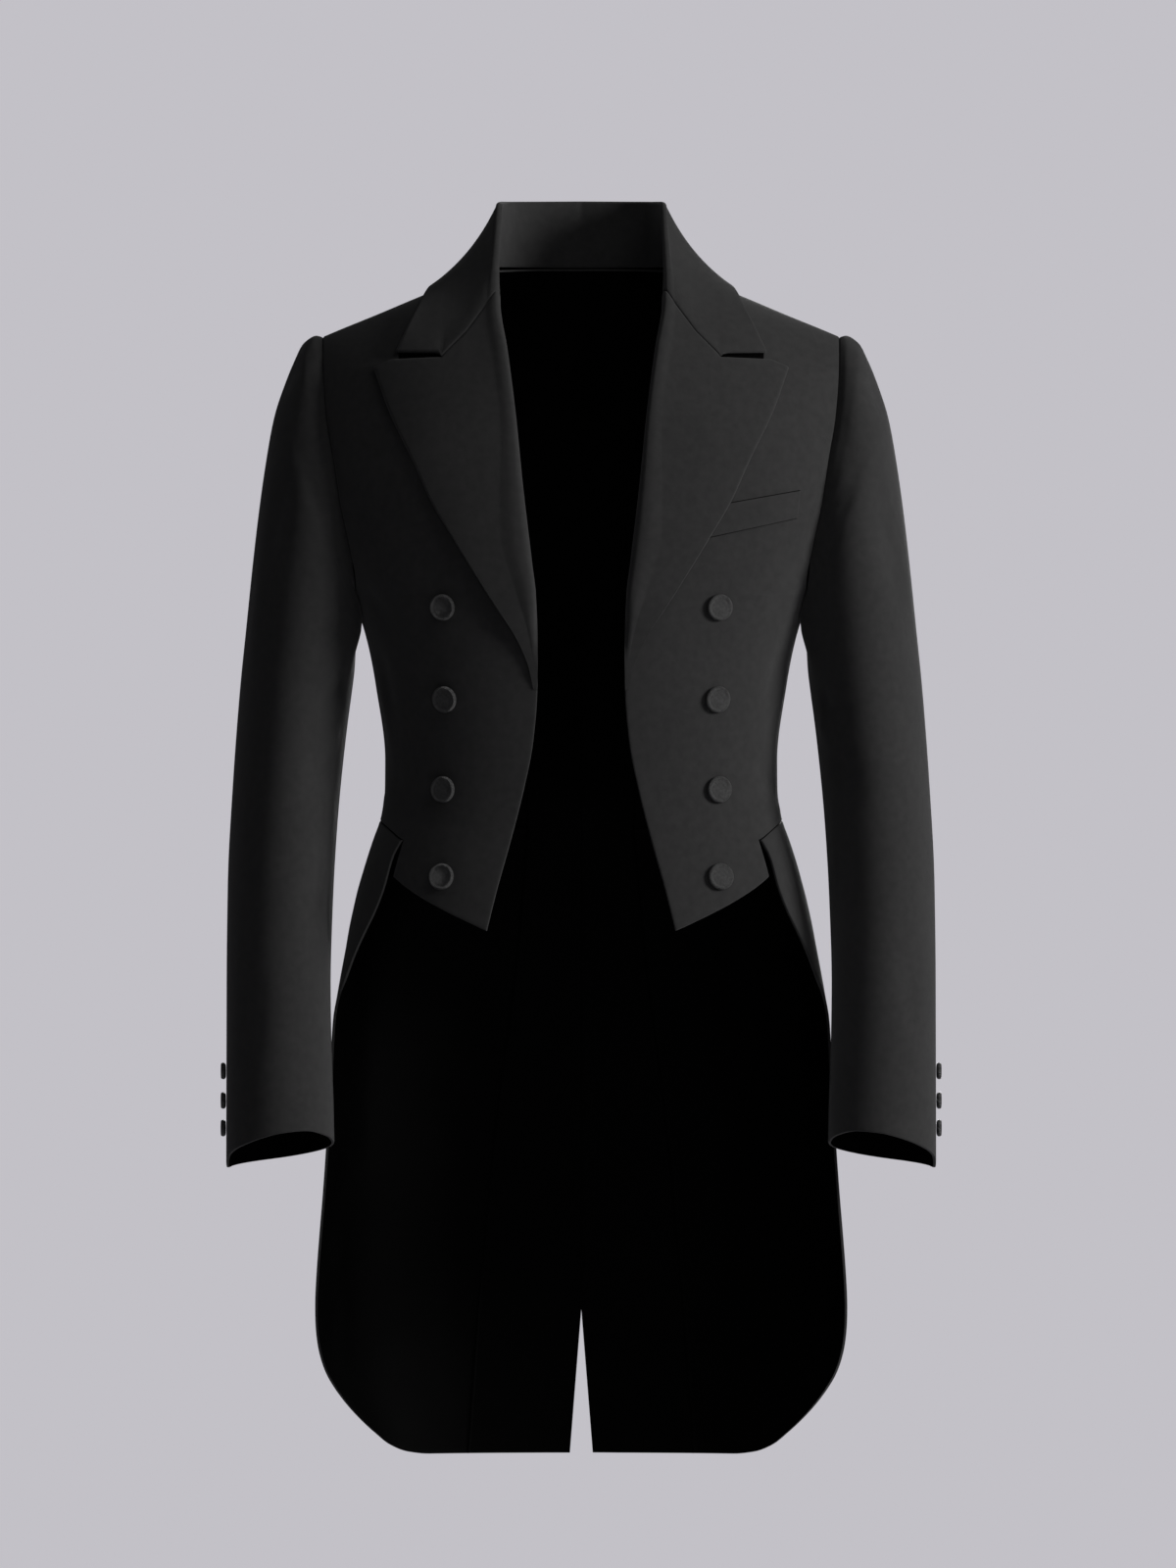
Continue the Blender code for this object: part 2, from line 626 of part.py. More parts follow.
def sleeve_ring():
    """Points and outward directions of the whole sleeve, rows down its length."""
    starts, ends, _ = arm_columns()
    armhole = [form(*armhole_spot(start % 360.0)) for start in starts]
    offsets = [armhole[place] - sleeve_point(starts[place], ends[place], 0) for place in range(len(starts))]
    points = []
    for row in range(len(SLEEVE)):
        keep = 1.0 - smooth(row / 6.0)
        line = []
        for start, end, offset in zip(starts, ends, offsets):
            line.append(gathered(sleeve_point(start, end, row) + offset * keep, start, row))
        points.append(line)
    outer_x, inner_x, middle_y, depth = [value * MM for value in SLEEVE_FOOT]
    hem = Run([row[0] for row in CUFF_HEM], [[row[1] * MM for row in CUFF_HEM]])
    line = []
    for end in ends:
        turn = math.radians(end)
        place_x = 0.5 * (outer_x + inner_x) + 0.5 * (outer_x - inner_x) * math.cos(turn)
        line.append(Vector((place_x, middle_y - depth * math.sin(turn), hem.at(end)[0])))
    points.append(line)
    normals = []
    last = len(points) - 1
    count = len(starts) - 1
    for row in range(last + 1):
        line = []
        for place in range(count + 1):
            along = points[row][(place + 1) % count] - points[row][(place - 1) % count]
            down = points[min(row + 1, last)][place] - points[max(row - 1, 0)][place]
            line.append(along.cross(down).normalized())
        normals.append(line)
    for place, start in enumerate(starts):
        seam = form_normal(*armhole_spot(start % 360.0))
        below = smooth((60.0 - abs(start % 360.0 - 180.0)) / 40.0)
        away = (points[1][place] - points[0][place]).normalized()
        away = away.lerp(seam, below).normalized()
        points[0][place] = points[0][place] + away * 2.2 * HALF_SEAM
    return points, normals


def make_sleeves(materials, collection):
    """Top and under sleeves from the armhole to the slanted hem."""
    points, normals = sleeve_ring()
    turn = arm_columns()[2]
    top = [line[:turn] for line in points]
    under = [line[turn - 1:] for line in points]
    for piece in (top, under):
        pull_in(piece, "near")
        pull_in(piece, "far")
    both_sides("top_sleeve", top, [line[:turn] for line in normals], WALL, materials, collection)
    both_sides("under_sleeve", under, [line[turn - 1:] for line in normals], WALL, materials, collection)


def polyline(rows, shares):
    """Points along a line of corners at shares of its length, mm to metres."""
    line = np.array(rows, dtype=float) * MM
    length = np.linalg.norm(np.diff(line, axis=0), axis=1)
    knots = np.concatenate([[0.0], np.cumsum(length)])
    knots = knots / knots[-1]
    return [np.array([np.interp(share, knots, column) for column in line.T]) for share in shares]


def lapel_net():
    """Points of the lapel's outer face, rows from its foot to the gorge."""
    rows = 16
    far = polyline(LAPEL_EDGE, even(rows))
    heights = even(rows, -0.3403, -0.0082)
    top = GORGE + LAPEL_TOP
    points = []
    for row in range(rows + 1):
        near = np.array([front_edge_run.at(heights[row])[0], heights[row]])
        if row == rows:
            near = np.array(GORGE[0]) * MM
        width = float(np.linalg.norm(far[row] - near))
        full = smooth((width - 0.008) / 0.025)
        rolled = min(0.015 / width, 0.4)
        shares = []
        lifts = []
        for step, (reach, rise) in enumerate(ROLL):
            plain = rolled * step / 5.0
            shares.append(plain + (reach / 15.0 * rolled - plain) * full)
            lifts.append((2.5 + (rise - 2.5) * full) * MM)
        for flat in (0.125, 0.25, 0.375, 0.5, 0.667, 0.833, 1.0):
            share = rolled + (1.0 - rolled) * flat
            settle = 1.0 - smooth((share * width - 0.015) / 0.035)
            shares.append(share)
            lifts.append(LAID_LIFT + 1.9 * MM * settle * full)
        bend = (row / rows) ** 3
        upper = polyline(top, [max(share, 0.0) for share in shares])
        ends = [np.array(top[0]) * MM, np.array(top[-1]) * MM]
        line = []
        for share, lift, on_top in zip(shares, lifts, upper):
            place = near + (far[row] - near) * share
            place = place + (on_top - ends[0] - (ends[1] - ends[0]) * max(share, 0.0)) * bend
            angle = angle_of(float(place[0]), float(place[1]), False)
            spot_height = float(place[1])
            line.append(form(angle, spot_height) + form_normal(angle, spot_height) * lift)
        points.append(line)
    return points


def make_lapels(materials, collection):
    """Peak lapels laid over the fronts, rolled at the front edge."""
    points = lapel_net()
    normals = net_normals(points)
    seam_points = list(points[-1])
    pull_in(points, "top", 1.8 * HALF_SEAM)
    both_sides("lapel", points, normals, LAID_WALL, materials, collection)
    return seam_points, normals[-1]


def over_form(place_x, place_y):
    """Height of the worn form over a place seen from above."""
    ridge = shoulder_run.at(abs(place_x))[0]
    height = ridge - 10.0 * MM
    for _ in range(10):
        half, front, back = body_run.at(height)
        wide = (1.0 - min(abs(place_x) / half, 0.98) ** SQUARENESS) ** (1.0 / SQUARENESS)
        depth = back if place_y > 0.0 else front
        out = min(abs(place_y) / (depth * wide), 0.97)
        height = ridge - SHOULDER_ROUND * (1.0 - math.sqrt(1.0 - out * out))
    return height


def over_normal(place_x, place_y):
    """Outward direction of the worn form over a place seen from above."""
    step = 0.5 * MM
    lean_x = over_form(place_x + step, place_y) - over_form(place_x - step, place_y)
    lean_y = over_form(place_x, place_y + step) - over_form(place_x, place_y - step)
    return Vector((-lean_x, -lean_y, 2.0 * step)).normalized()


def collar_edge_places():
    """A run of the places below the collar's outer edge, over the shoulder line."""
    rows = []
    for share in COLLAR_EDGE_SHARES:
        place_x, height = share_run(COLLAR_EDGE).at(share)
        place = form(angle_of(place_x, height, share > 0.5), height)
        rows.append((share, place_x, 0.0 if share == 0.5 else place.y))
    return Run([row[0] for row in rows], [[row[1] for row in rows], [row[2] for row in rows]])


collar_edge_run = collar_edge_places()


def neck_point(share):
    """Foot of the collar's stand beside the neck seam."""
    place_x, height = share_run(NECKLINE).at(share)
    place = form(angle_of(place_x, height, share > 0.5), height)
    inward = Vector((-place.x, 0.005 - place.y, 0.0)).normalized()
    return place + inward * 2.0 * MM + Vector((0.0, 0.0, 0.8 * MM))


def collar_line(share):
    """Points across the collar at one place, stand to roll to outer edge."""
    roll = Vector(share_run(COLLAR_ROLL).at(share))
    bearing = math.radians(bearing_run.at(share)[0])
    out = Vector((math.cos(bearing), math.sin(bearing), 0.0))
    place_x, place_y = collar_edge_run.at(share)
    edge = Vector((place_x, place_y, over_form(place_x, place_y)))
    edge = edge + over_normal(place_x, place_y) * LAID_LIFT
    stand = neck_point(share)
    neck_side = roll - Vector((0.0, 0.0, 5.0 * MM))
    line = [stand, stand.lerp(neck_side, 0.5), neck_side]
    line.append(roll + out * 0.8 * MM - Vector((0.0, 0.0, 1.3 * MM)))
    line.append(roll + out * 3.0 * MM)
    line.append(roll + out * 5.2 * MM - Vector((0.0, 0.0, 1.3 * MM)))
    start = roll + out * 6.3 * MM - Vector((0.0, 0.0, 4.6 * MM))
    pull = start.lerp(edge, 0.365)
    pull.z = start.z + 0.63 * (edge.z - start.z)
    for step in (0.0, 0.17, 0.34, 0.5, 0.67, 0.84, 1.0):
        line.append(start * (1.0 - step) ** 2 + pull * 2.0 * step * (1.0 - step) + edge * step * step)
    return line


def clear_of_form(point, need):
    """A point moved off the worn form until it stands clear of it."""
    for _ in range(3):
        normal = over_normal(point.x, point.y)
        off = (point.z - over_form(point.x, point.y)) * normal.z
        point = point + normal * max(need - off, 0.0)
    return point


def make_collar(seam_points, seam_normals, materials, collection):
    """One collar round the neck: stand, roll and flared fall."""
    foot = [seam_points[0], seam_points[0].lerp(seam_points[1], 0.5)] + seam_points[1:10]
    for place in polyline(COLLAR_TIP, [0.5, 1.0]):
        angle = angle_of(float(place[0]), float(place[1]), False)
        foot.append(form(angle, float(place[1])) + form_normal(angle, float(place[1])) * LAID_LIFT)
    start = collar_line(0.0)
    half = [foot]
    for share in COLLAR_ROWS:
        ease = 1.0 - smooth(share / 0.34)
        line = []
        for place, point in enumerate(collar_line(share)):
            moved = point + (foot[place] - start[place]) * ease
            if place > 5:
                moved = clear_of_form(moved, LAID_LIFT)
            line.append(moved)
        half.append(line)
    points = half + mirrored(half)[::-1][1:]
    normals = net_normals(points)
    shared = [seam_normals[0], seam_normals[0]] + list(seam_normals[1:10])
    for place, normal in enumerate(shared):
        normals[0][place] = normal
        normals[-1][place] = Vector((-normal.x, normal.y, normal.z))
    pull_in(points, "foot", 1.8 * HALF_SEAM)
    pull_in(points, "top", 1.8 * HALF_SEAM)
    cloth("collar", points, normals, LAID_WALL, materials["collar"], collection)


def make_welt(materials, collection):
    """Breast pocket welt on the wearer's left front."""
    foot = polyline(WELT[:2], even(7))
    top = polyline([WELT[3], WELT[2]], even(7))
    net = []
    for up in even(3):
        line = []
        for lower, upper in zip(foot, top):
            place = lower + (upper - lower) * up
            line.append((angle_of(float(place[0]), float(place[1]), False), float(place[1])))
        net.append(line)
    points, normals = on_form(net, lambda point: 1.8 * MM)
    cloth("breast_welt", points, normals, 1.4 * MM, materials["breast_welt"], collection)


def make_button(name, centre, normal, radius, sides, material, collection):
    """A flat round button with a thin raised rim, seated on a panel."""
    outline = [(0.0, 0.0), (radius - 1.0 * MM, 0.0), (radius, 1.1 * MM), (radius - 0.3 * MM, 2.9 * MM)]
    outline += [(radius - 1.5 * MM, 3.3 * MM), (radius - 2.6 * MM, 2.6 * MM), (0.0, 2.6 * MM)]
    mesh = bmesh.new()
    corners = [mesh.verts.new((reach, 0.0, height)) for reach, height in outline]
    edges = [mesh.edges.new(pair) for pair in zip(corners, corners[1:])]
    bmesh.ops.spin(
        mesh,
        geom=corners + edges,
        axis=(0.0, 0.0, 1.0),
        cent=(0.0, 0.0, 0.0),
        angle=2.0 * math.pi,
        steps=sides,
        use_merge=True,
    )
    bmesh.ops.remove_doubles(mesh, verts=mesh.verts[:], dist=0.00001)
    facing = normal.to_track_quat("Z", "Y").to_matrix().to_4x4()
    place = Matrix.Translation(centre + normal * SEAT_GAP) @ facing
    bmesh.ops.transform(mesh, matrix=place, verts=mesh.verts[:])
    new_object(name, mesh, material, collection)


def make_buttons(materials, collection):
    """Four buttons on each front and three at each cuff."""
    for side, turn in (("left", 1.0), ("right", -1.0)):
        for count, (place_x, height) in enumerate(FRONT_BUTTONS, start=1):
            angle = angle_of(place_x * MM, height * MM, False)
            centre = form(angle, height * MM)
            normal = form_normal(angle, height * MM)
            centre.x *= turn
            normal.x *= turn
            name = "front_button_%s_%d" % (side, count)
            make_button(name, centre, normal, FRONT_BUTTON_RADIUS, 16, materials[name], collection)
        points, normals = sleeve_ring()
        for count, height in enumerate(CUFF_BUTTONS, start=1):
            row = max(row for row in range(len(points) - 1) if points[row][1].z >= height * MM)
            share = (height * MM - points[row][1].z) / (points[row + 1][1].z - points[row][1].z)
            centre = points[row][1].lerp(points[row + 1][1], share)
            normal = normals[row][1].lerp(normals[row + 1][1], share).normalized()
            centre.x *= turn
            normal.x *= turn
            name = "cuff_button_%s_%d" % (side, count)
            make_button(name, centre, normal, CUFF_BUTTON_RADIUS, 12, materials[name], collection)


def piece_names():
    """Every piece of the coat."""
    paired = ["front", "side_body", "back", "skirt", "top_sleeve", "under_sleeve", "lapel"]
    names = [name + side for name in paired for side in ("_left", "_right")]
    names += ["collar", "breast_welt"]
    for side in ("left", "right"):
        names += ["front_button_%s_%d" % (side, count) for count in (1, 2, 3, 4)]
        names += ["cuff_button_%s_%d" % (side, count) for count in (1, 2, 3)]
    return names


def make_coat():
    """Build every piece of the coat."""
    clear_scene()
    collection = bpy.data.collections.new("tailcoat")
    bpy.context.scene.collection.children.link(collection)
    materials = {}
    for name in piece_names():
        if "button" in name:
            materials[name] = cloth_material(name + "_cover", (0.030, 0.030, 0.031), 0.70)
        else:
            materials[name] = cloth_material(name + "_wool", (0.028, 0.028, 0.029), 0.92)
    make_fronts(materials, collection)
    make_side_bodies(materials, collection)
    make_backs(materials, collection)
    make_skirts(materials, collection)
    make_sleeves(materials, collection)
    seam_points, seam_normals = make_lapels(materials, collection)
    make_collar(seam_points, seam_normals, materials, collection)
    make_welt(materials, collection)
    make_buttons(materials, collection)


make_coat()
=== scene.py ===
"""Studio picture of a tailcoat with peak lapels, in its worn form and empty inside.

Frame: +X is the wearer's left, the front faces -Y, +Z is up. All sizes are metres.
"""
import math

import bmesh
import bpy
import numpy as np
from mathutils import Matrix, Vector


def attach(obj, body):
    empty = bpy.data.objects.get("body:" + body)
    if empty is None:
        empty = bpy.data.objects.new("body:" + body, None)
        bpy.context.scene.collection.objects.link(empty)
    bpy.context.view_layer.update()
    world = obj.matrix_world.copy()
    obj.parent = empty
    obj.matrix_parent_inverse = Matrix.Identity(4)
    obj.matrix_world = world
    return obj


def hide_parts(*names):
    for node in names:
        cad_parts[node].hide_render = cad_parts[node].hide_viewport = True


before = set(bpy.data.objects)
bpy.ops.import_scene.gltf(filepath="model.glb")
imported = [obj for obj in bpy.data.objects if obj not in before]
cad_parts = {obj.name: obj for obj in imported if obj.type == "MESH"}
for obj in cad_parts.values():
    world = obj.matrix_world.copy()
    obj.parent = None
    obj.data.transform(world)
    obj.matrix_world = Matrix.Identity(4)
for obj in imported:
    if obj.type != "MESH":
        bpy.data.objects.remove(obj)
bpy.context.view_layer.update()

MM = 0.001
FINE = 5
SIDES = ("left", "right")
WALL = 2.0 * MM
LAID_WALL = 1.8 * MM
WELT_WALL = 0.7 * MM
LAID_LIFT = 2.6 * MM
HALF_SEAM = 0.16 * MM
CLOSE_SEAM = 0.0005 * MM
EDGE_ROUND = 0.5 * MM
SEAM_DIP = 0.8 * MM
ARM_DIP = 1.5 * MM
ARM_EASE = 0.02
EDGE_DIP = 0.3 * MM
LAID_DIP = 0.7 * MM
LAPEL_DIP = 1.5 * MM
WAIST_RAISE = 0.25 * MM
WAIST_DIP = 2.2 * MM
EDGE_RAISE = 2.0 * MM
BELLY = 0.6
STAND_OFF = 3.2 * MM
SLEEVE_FOLD_GAIN = 1.4
BODY_FOLD_GAIN = 1.3
EDGE_LINES = (2.6 * MM, 1.0 * MM)
SQUARENESS = 2.4
SHOULDER_ROUND = 140.0 * MM
SEAT_GAP = 0.5 * MM
EDGE_SETBACK = 2.5 * MM
VENT_LIFT = 2.8 * MM
VENT_LAP = 28.0 * MM
VENT_CLOSE = -0.8635
VENT_HALF = 9.7 * MM
HEM = -0.985
UNDERARM = -0.265
WAIST_BACK = -0.4555
SHOULDER_TIP = (0.2165, -0.0443)
FRONT_BUTTON_RADIUS = 11.1 * MM
CUFF_BUTTON_RADIUS = 7.0 * MM

CAMERA_DISTANCE = 12.0
CAMERA_X = 0.0057
CAMERA_Z = -0.4182
FRAME_HEIGHT = 1.312
SENSOR = 36.0
FLOOR = -1.5
FLOOR_RADIUS = 2.6
BACKDROP_RADIUS = 45.0
FLOOR_TONE = (0.56, 0.55, 0.58, 1.0)
BACKDROP_TONE = (0.545, 0.533, 0.572, 1.0)
AIR_TONE = (0.545, 0.533, 0.584, 1.0)
AIR_STRENGTH = 0.06
LIGHT_AIM = (0.0, 0.0, -0.35)
# name, place, size, power in watts and colour of each light
LIGHTS = [
    ("key_light", (3.06, -1.43, 0.55), 1.2, 120.0, (1.0, 0.995, 0.99)),
    ("fill_light", (0.0, -3.4, 0.55), 1.4, 7.0, (0.98, 0.99, 1.0)),
    ("high_light", (1.3, -1.85, 2.3), 1.2, 12.0, (1.0, 1.0, 1.0)),
    ("back_light", (0.5, 3.9, 0.3), 1.6, 90.0, (1.0, 1.0, 1.0)),
]

# height, half width, front depth, back depth of the worn form, mm
BODY = [
    (-985, 228.0, 118.0, 160.0), (-885, 226.0, 118.0, 157.0), (-858, 225.0, 118.0, 155.0),
    (-827, 222.9, 117.5, 153.0), (-791, 219.8, 117.0, 151.0), (-764, 217.3, 116.5, 149.0),
    (-720, 213.9, 116.0, 146.0), (-670, 210.8, 115.5, 141.0), (-615, 207.6, 115.0, 134.0),
    (-596, 204.4, 114.5, 131.0), (-562, 198.2, 113.0, 125.0), (-540, 193.8, 112.0, 121.0),
    (-521, 189.4, 110.5, 117.0), (-490, 182.0, 108.0, 110.0), (-466, 174.5, 106.0, 105.0),
    (-445, 167.3, 105.0, 101.0), (-422, 164.2, 105.5, 99.0), (-398, 164.0, 107.0, 100.0),
    (-336, 171.8, 114.0, 110.0), (-309, 176.7, 117.5, 115.0), (-285, 182.9, 120.0, 119.0),
    (-275, 186.3, 120.3, 120.5), (-265, 190.0, 120.5, 121.5), (-250, 196.5, 121.0, 123.0),
    (-220, 205.5, 121.0, 125.0), (-190, 214.0, 120.0, 126.0), (-155, 222.0, 117.0, 125.0),
    (-110, 228.0, 112.0, 120.0), (-73, 232.0, 106.0, 113.0), (-44, 235.0, 100.0, 106.0),
    (0, 240.0, 92.0, 95.0), (60, 245.0, 80.0, 80.0),
]
# distance from the middle, height of the shoulder line, mm
SHOULDER = [
    (0, 46.0), (30, 40.0), (50, 30.0), (80, 12.0), (100, 3.5), (124, -5.5),
    (170, -24.8), (216.5, -44.3), (240, -56.0),
]
# height, distance of the folded front edge from the middle, mm
FRONT_EDGE = [
    (-540, 78.6), (-506, 70.1), (-465, 58.6), (-423, 47.8), (-384, 40.1), (-344, 36.6),
    (-307, 35.8), (-261, 37.4), (-236, 40.4), (-168, 48.4), (-108, 54.5), (-56.6, 61.3),
    (-16.4, 67.6), (24.6, 68.1), (69, 65.6),
]
# height, distance of the armhole seam from the middle in front and behind, mm
ARMHOLE = [
    (-265, 190.0, 190.0), (-261, 189.4, 190.2), (-252.6, 188.6, 191.0), (-222, 193.5, 197.5),
    (-187, 200.9, 204.0), (-145, 207.5, 209.0), (-110.7, 213.2, 213.5), (-73, 216.0, 216.0),
    (-44.3, 216.5, 216.5),
]
# distance from the middle, height of the lapel's outer edge from its foot to the peak, mm
LAPEL_EDGE = [
    (39.6, -340.3), (41.2, -331.5), (43.6, -320.6), (46.9, -311.6), (54.1, -296.0),
    (69.7, -271.4), (87.7, -242.7), (106.6, -211.6), (123.0, -184.5), (139.4, -149.2),
    (158.3, -109.9), (171.8, -72.8),
]
# distance from the middle, height of the gorge seam from the roll to the notch, mm
GORGE = [(68.0, -8.2), (79.5, -24.2), (94.3, -43.9), (113.6, -63.2)]
LAPEL_TOP = [(113.6, -65.2), (156.6, -66.6), (171.8, -72.8)]
COLLAR_TIP = [(120.0, -61.3), (153.3, -60.7)]
# the slot between peak and collar, where the front is painted black as painted shade: least and most distance
# from the middle, lowest and highest place
NOTCH_SHADE = (0.110, 0.153, -0.072, -0.056)
# height, distance of the skirt's front edge from the middle, degrees round from the front
SKIRT_EDGE = [
    (-463.0, 149.6, 0), (-479.7, 158.3, 0), (-498.6, 163.4, 0), (-521.5, 171.6, 0),
    (-541.2, 181.2, 0), (-558.4, 189.2, 0), (-581.4, 198.0, 0), (-606.0, 0, 87.5),
    (-640.0, 0, 91.5), (-720.0, 0, 95.0), (-800.0, 0, 97.5), (-840.0, 0, 99.0),
    (-866.0, 0, 101.5), (-885.0, 0, 105.0), (-910.2, 0, 112.3), (-929.1, 0, 119.5),
]
SKIRT_HEM = [
    (-929.1, 0, 119.5), (-949.6, 0, 127.2), (-966.0, 0, 133.5), (-977.0, 0, 138.0),
    (-983.0, 0, 142.5), (-985.0, 0, 147.5), (-985.0, 0, 155.5),
]
# height, distance from the middle behind of the side body's seam, mm
BLADE_SEAM = [
    (-455, 45.0), (-420, 46.5), (-380, 51.0), (-330, 66.0), (-285, 93.0), (-245, 130.0),
    (-212, 172.0), (-187, 204.0),
]
# height, distance from the middle behind of the skirt's pleat line, mm
PLEAT = [(-985, 96.0), (-860, 87.0), (-700, 72.0), (-560, 54.0), (-455, 45.0)]
# outer x, outer z, inner x, inner z, middle y, half depth of each sleeve section, mm
SLEEVE = [
    (217.0, -43.6, 190.4, -265.4, 1.0, 55.0), (222.3, -42.4, 190.6, -268.5, 1.0, 58.0),
    (232.1, -48.4, 190.0, -273.5, 1.0, 62.0), (240.7, -64.8, 189.2, -279.5, 1.0, 66.0),
    (249.3, -86.9, 188.6, -286.5, 1.0, 69.0), (257.1, -112.3, 188.4, -295.0, 0.5, 71.5),
    (264.2, -151.7, 188.8, -308.0, 0.0, 72.5), (270.2, -195.0, 189.6, -323.0, -1.0, 72.0),
    (274.9, -236.2, 191.6, -340.0, -2.5, 71.0), (280.4, -290.3, 194.8, -364.0, -5.0, 69.0),
    (285.0, -336.2, 198.2, -393.0, -8.0, 67.0), (291.1, -418.2, 203.4, -448.0, -13.0, 63.0),
    (295.2, -500.2, 207.2, -514.0, -19.5, 58.5), (296.0, -582.2, 209.1, -582.2, -27.0, 54.0),
    (296.0, -640.0, 208.2, -640.0, -33.0, 51.0), (296.0, -690.0, 206.6, -682.0, -38.0, 49.0),
]
SLEEVE_FOOT = (296.0, 205.8, -41.0, 48.0)
# the sleeve's soft bulge towards the body below the armhole: size, degrees, spread, clearance
GATHER = (10.0 * MM, 150.0, 16.0, 1.4 * MM)
# sections where the bulge begins and its length of growth, where it ends and its length of decay
GATHER_ALONG = (1.0, 4.0, 5.2, 2.8)
# degrees from its middle where the clearance ends and eases, section where it ends and its decay
GATHER_KEPT = (42.0, 15.0, 7.0, 1.5)
# degrees round the sleeve from its outer side through its front, height of the hem, mm
CUFF_HEM = [
    (-14, -737.5), (-6, -738.0), (0, -736.0), (12, -729.0), (25, -724.5), (45, -719.0),
    (70, -712.6), (92, -708.4), (120, -706.5), (150, -710.5), (180, -717.0), (220, -724.0),
    (270, -731.0), (320, -735.5), (346, -737.5),
]
HINDARM_SEAM = -14.0
FOREARM_SEAM = 172.0
# side along the collar, roll x, y, z, mm
COLLAR_ROLL = [
    (0.0, 68.0, -58.0, -8.2), (0.18, 68.2, -38.0, 20.0), (0.34, 67.2, -18.0, 48.0),
    (0.5, 65.6, 5.0, 68.9), (0.66, 56.0, 36.0, 70.5), (0.82, 32.0, 57.0, 71.5),
    (1.0, 0.0, 65.0, 72.0),
]
# side along the collar, outer edge x, z, mm, behind when past the middle
COLLAR_EDGE = [
    (0.0, 153.3, -60.7), (0.18, 144.5, -42.0), (0.34, 134.5, -22.5), (0.5, 124.2, -5.5),
    (0.66, 109.0, -16.0), (0.82, 66.0, -17.0), (1.0, 0.0, -11.0),
]
COLLAR_EDGE_SHARES = [0.0, 0.09, 0.18, 0.26, 0.34, 0.42, 0.5, 0.66, 0.74, 0.82, 0.91, 1.0]
# side along the collar, neck seam x, z, mm, behind when past the middle
NECKLINE = [
    (0.0, 70.3, -14.0), (0.18, 71.4, -2.0), (0.34, 75.0, 8.5), (0.5, 80.0, 12.0),
    (0.66, 64.0, 14.5), (0.82, 36.0, 15.0), (1.0, 0.0, 15.0),
]
# share along the collar, degrees its fall faces outward from the side
COLLAR_BEARING = [(0.0, 0.0), (0.34, 0.0), (0.5, 8.0), (0.66, 38.0), (0.82, 66.0), (1.0, 90.0)]
COLLAR_SHARES = [
    0.0, 0.09, 0.18, 0.27, 0.36, 0.44, 0.5, 0.56, 0.62, 0.68, 0.74, 0.80, 0.85, 0.90, 0.95, 1.0,
]
# reach outward and drop of the collar's turn over its roll, mm
COLLAR_TURN = [(0.8, 1.3), (3.0, 0.0), (5.2, 1.3)]
# shares of the collar's fall from its turn to its outer edge
COLLAR_FALL = [0.0, 0.17, 0.34, 0.5, 0.67, 0.84, 1.0]
# distance from the roll, height above the front, of a lapel's rolled edge, mm
ROLL = [(0.25, -1.7), (0.0, 0.5), (0.9, 2.9), (3.4, 4.6), (8.0, 5.1), (15.0, 4.5)]
LAPEL_FLAT = [0.0, 0.125, 0.25, 0.375, 0.5, 0.667, 0.833, 1.0]
FRONT_BUTTONS = [(114.4, -271.6), (112.7, -347.7), (114.0, -422.7), (115.4, -495.3)]
CUFF_BUTTONS = [-657.6, -682.2, -705.2]
# a button's side: mm inside its edge, mm above its seat
BUTTON_SIDE = [(1.8, 0.0), (0.7, 0.5), (0.1, 1.4), (0.0, 2.2)]
# a button's rim: shares of the rim's width inside its edge, mm above its seat
BUTTON_RIM = [(0.12, 3.1), (0.35, 3.8), (0.6, 4.0), (0.85, 3.6), (1.05, 3.0), (1.4, 2.75)]
RIM_SHARE = 0.26
# how far the welt's inner end reaches under the lapel, mm sideways and down
WELT_TUCK = (3.4, 0.8)
WELT_SUNK = 1.5 * MM
WELT = [(107.4, -213.8), (179.6, -197.6), (182.0, -173.8), (126.3, -184.0)]
# waist seam: degrees round the body, height
WAIST_SEAM = [
    (50.0, -0.4662), (54.0, -0.4643), (60.0, -0.4590), (65.0, -0.4552), (71.0, -0.4520),
    (90.0, -0.4475), (120.0, -0.4500), (180.0, -0.4560),
]

# soft folds of the body: first degrees and height, last degrees and height, width, depth, mm
BODY_FOLDS = [
    (66, -300, 60, -372, 13, -1.3), (74, -318, 70, -404, 10, 0.9), (58, -402, 80, -424, 9, -1.1),
    (64, -424, 88, -438, 7, 0.8), (97, -428, 122, -420, 9, -1.2), (104, -406, 132, -396, 11, 0.9),
    (128, -432, 158, -426, 8, -0.9), (100, -296, 116, -352, 14, -1.5), (118, -286, 128, -340, 12, 1.0),
    (120, -150, 138, -214, 16, -1.6), (132, -118, 146, -180, 12, 0.8), (62, -238, 52, -288, 14, -1.2),
    (106, -520, 112, -700, 20, -2.0), (122, -540, 126, -790, 22, 1.8), (138, -500, 142, -690, 18, -1.6),
    (118, -760, 124, -930, 20, -1.5), (148, -640, 150, -900, 19, 1.5), (96, -480, 100, -590, 15, 1.2),
]
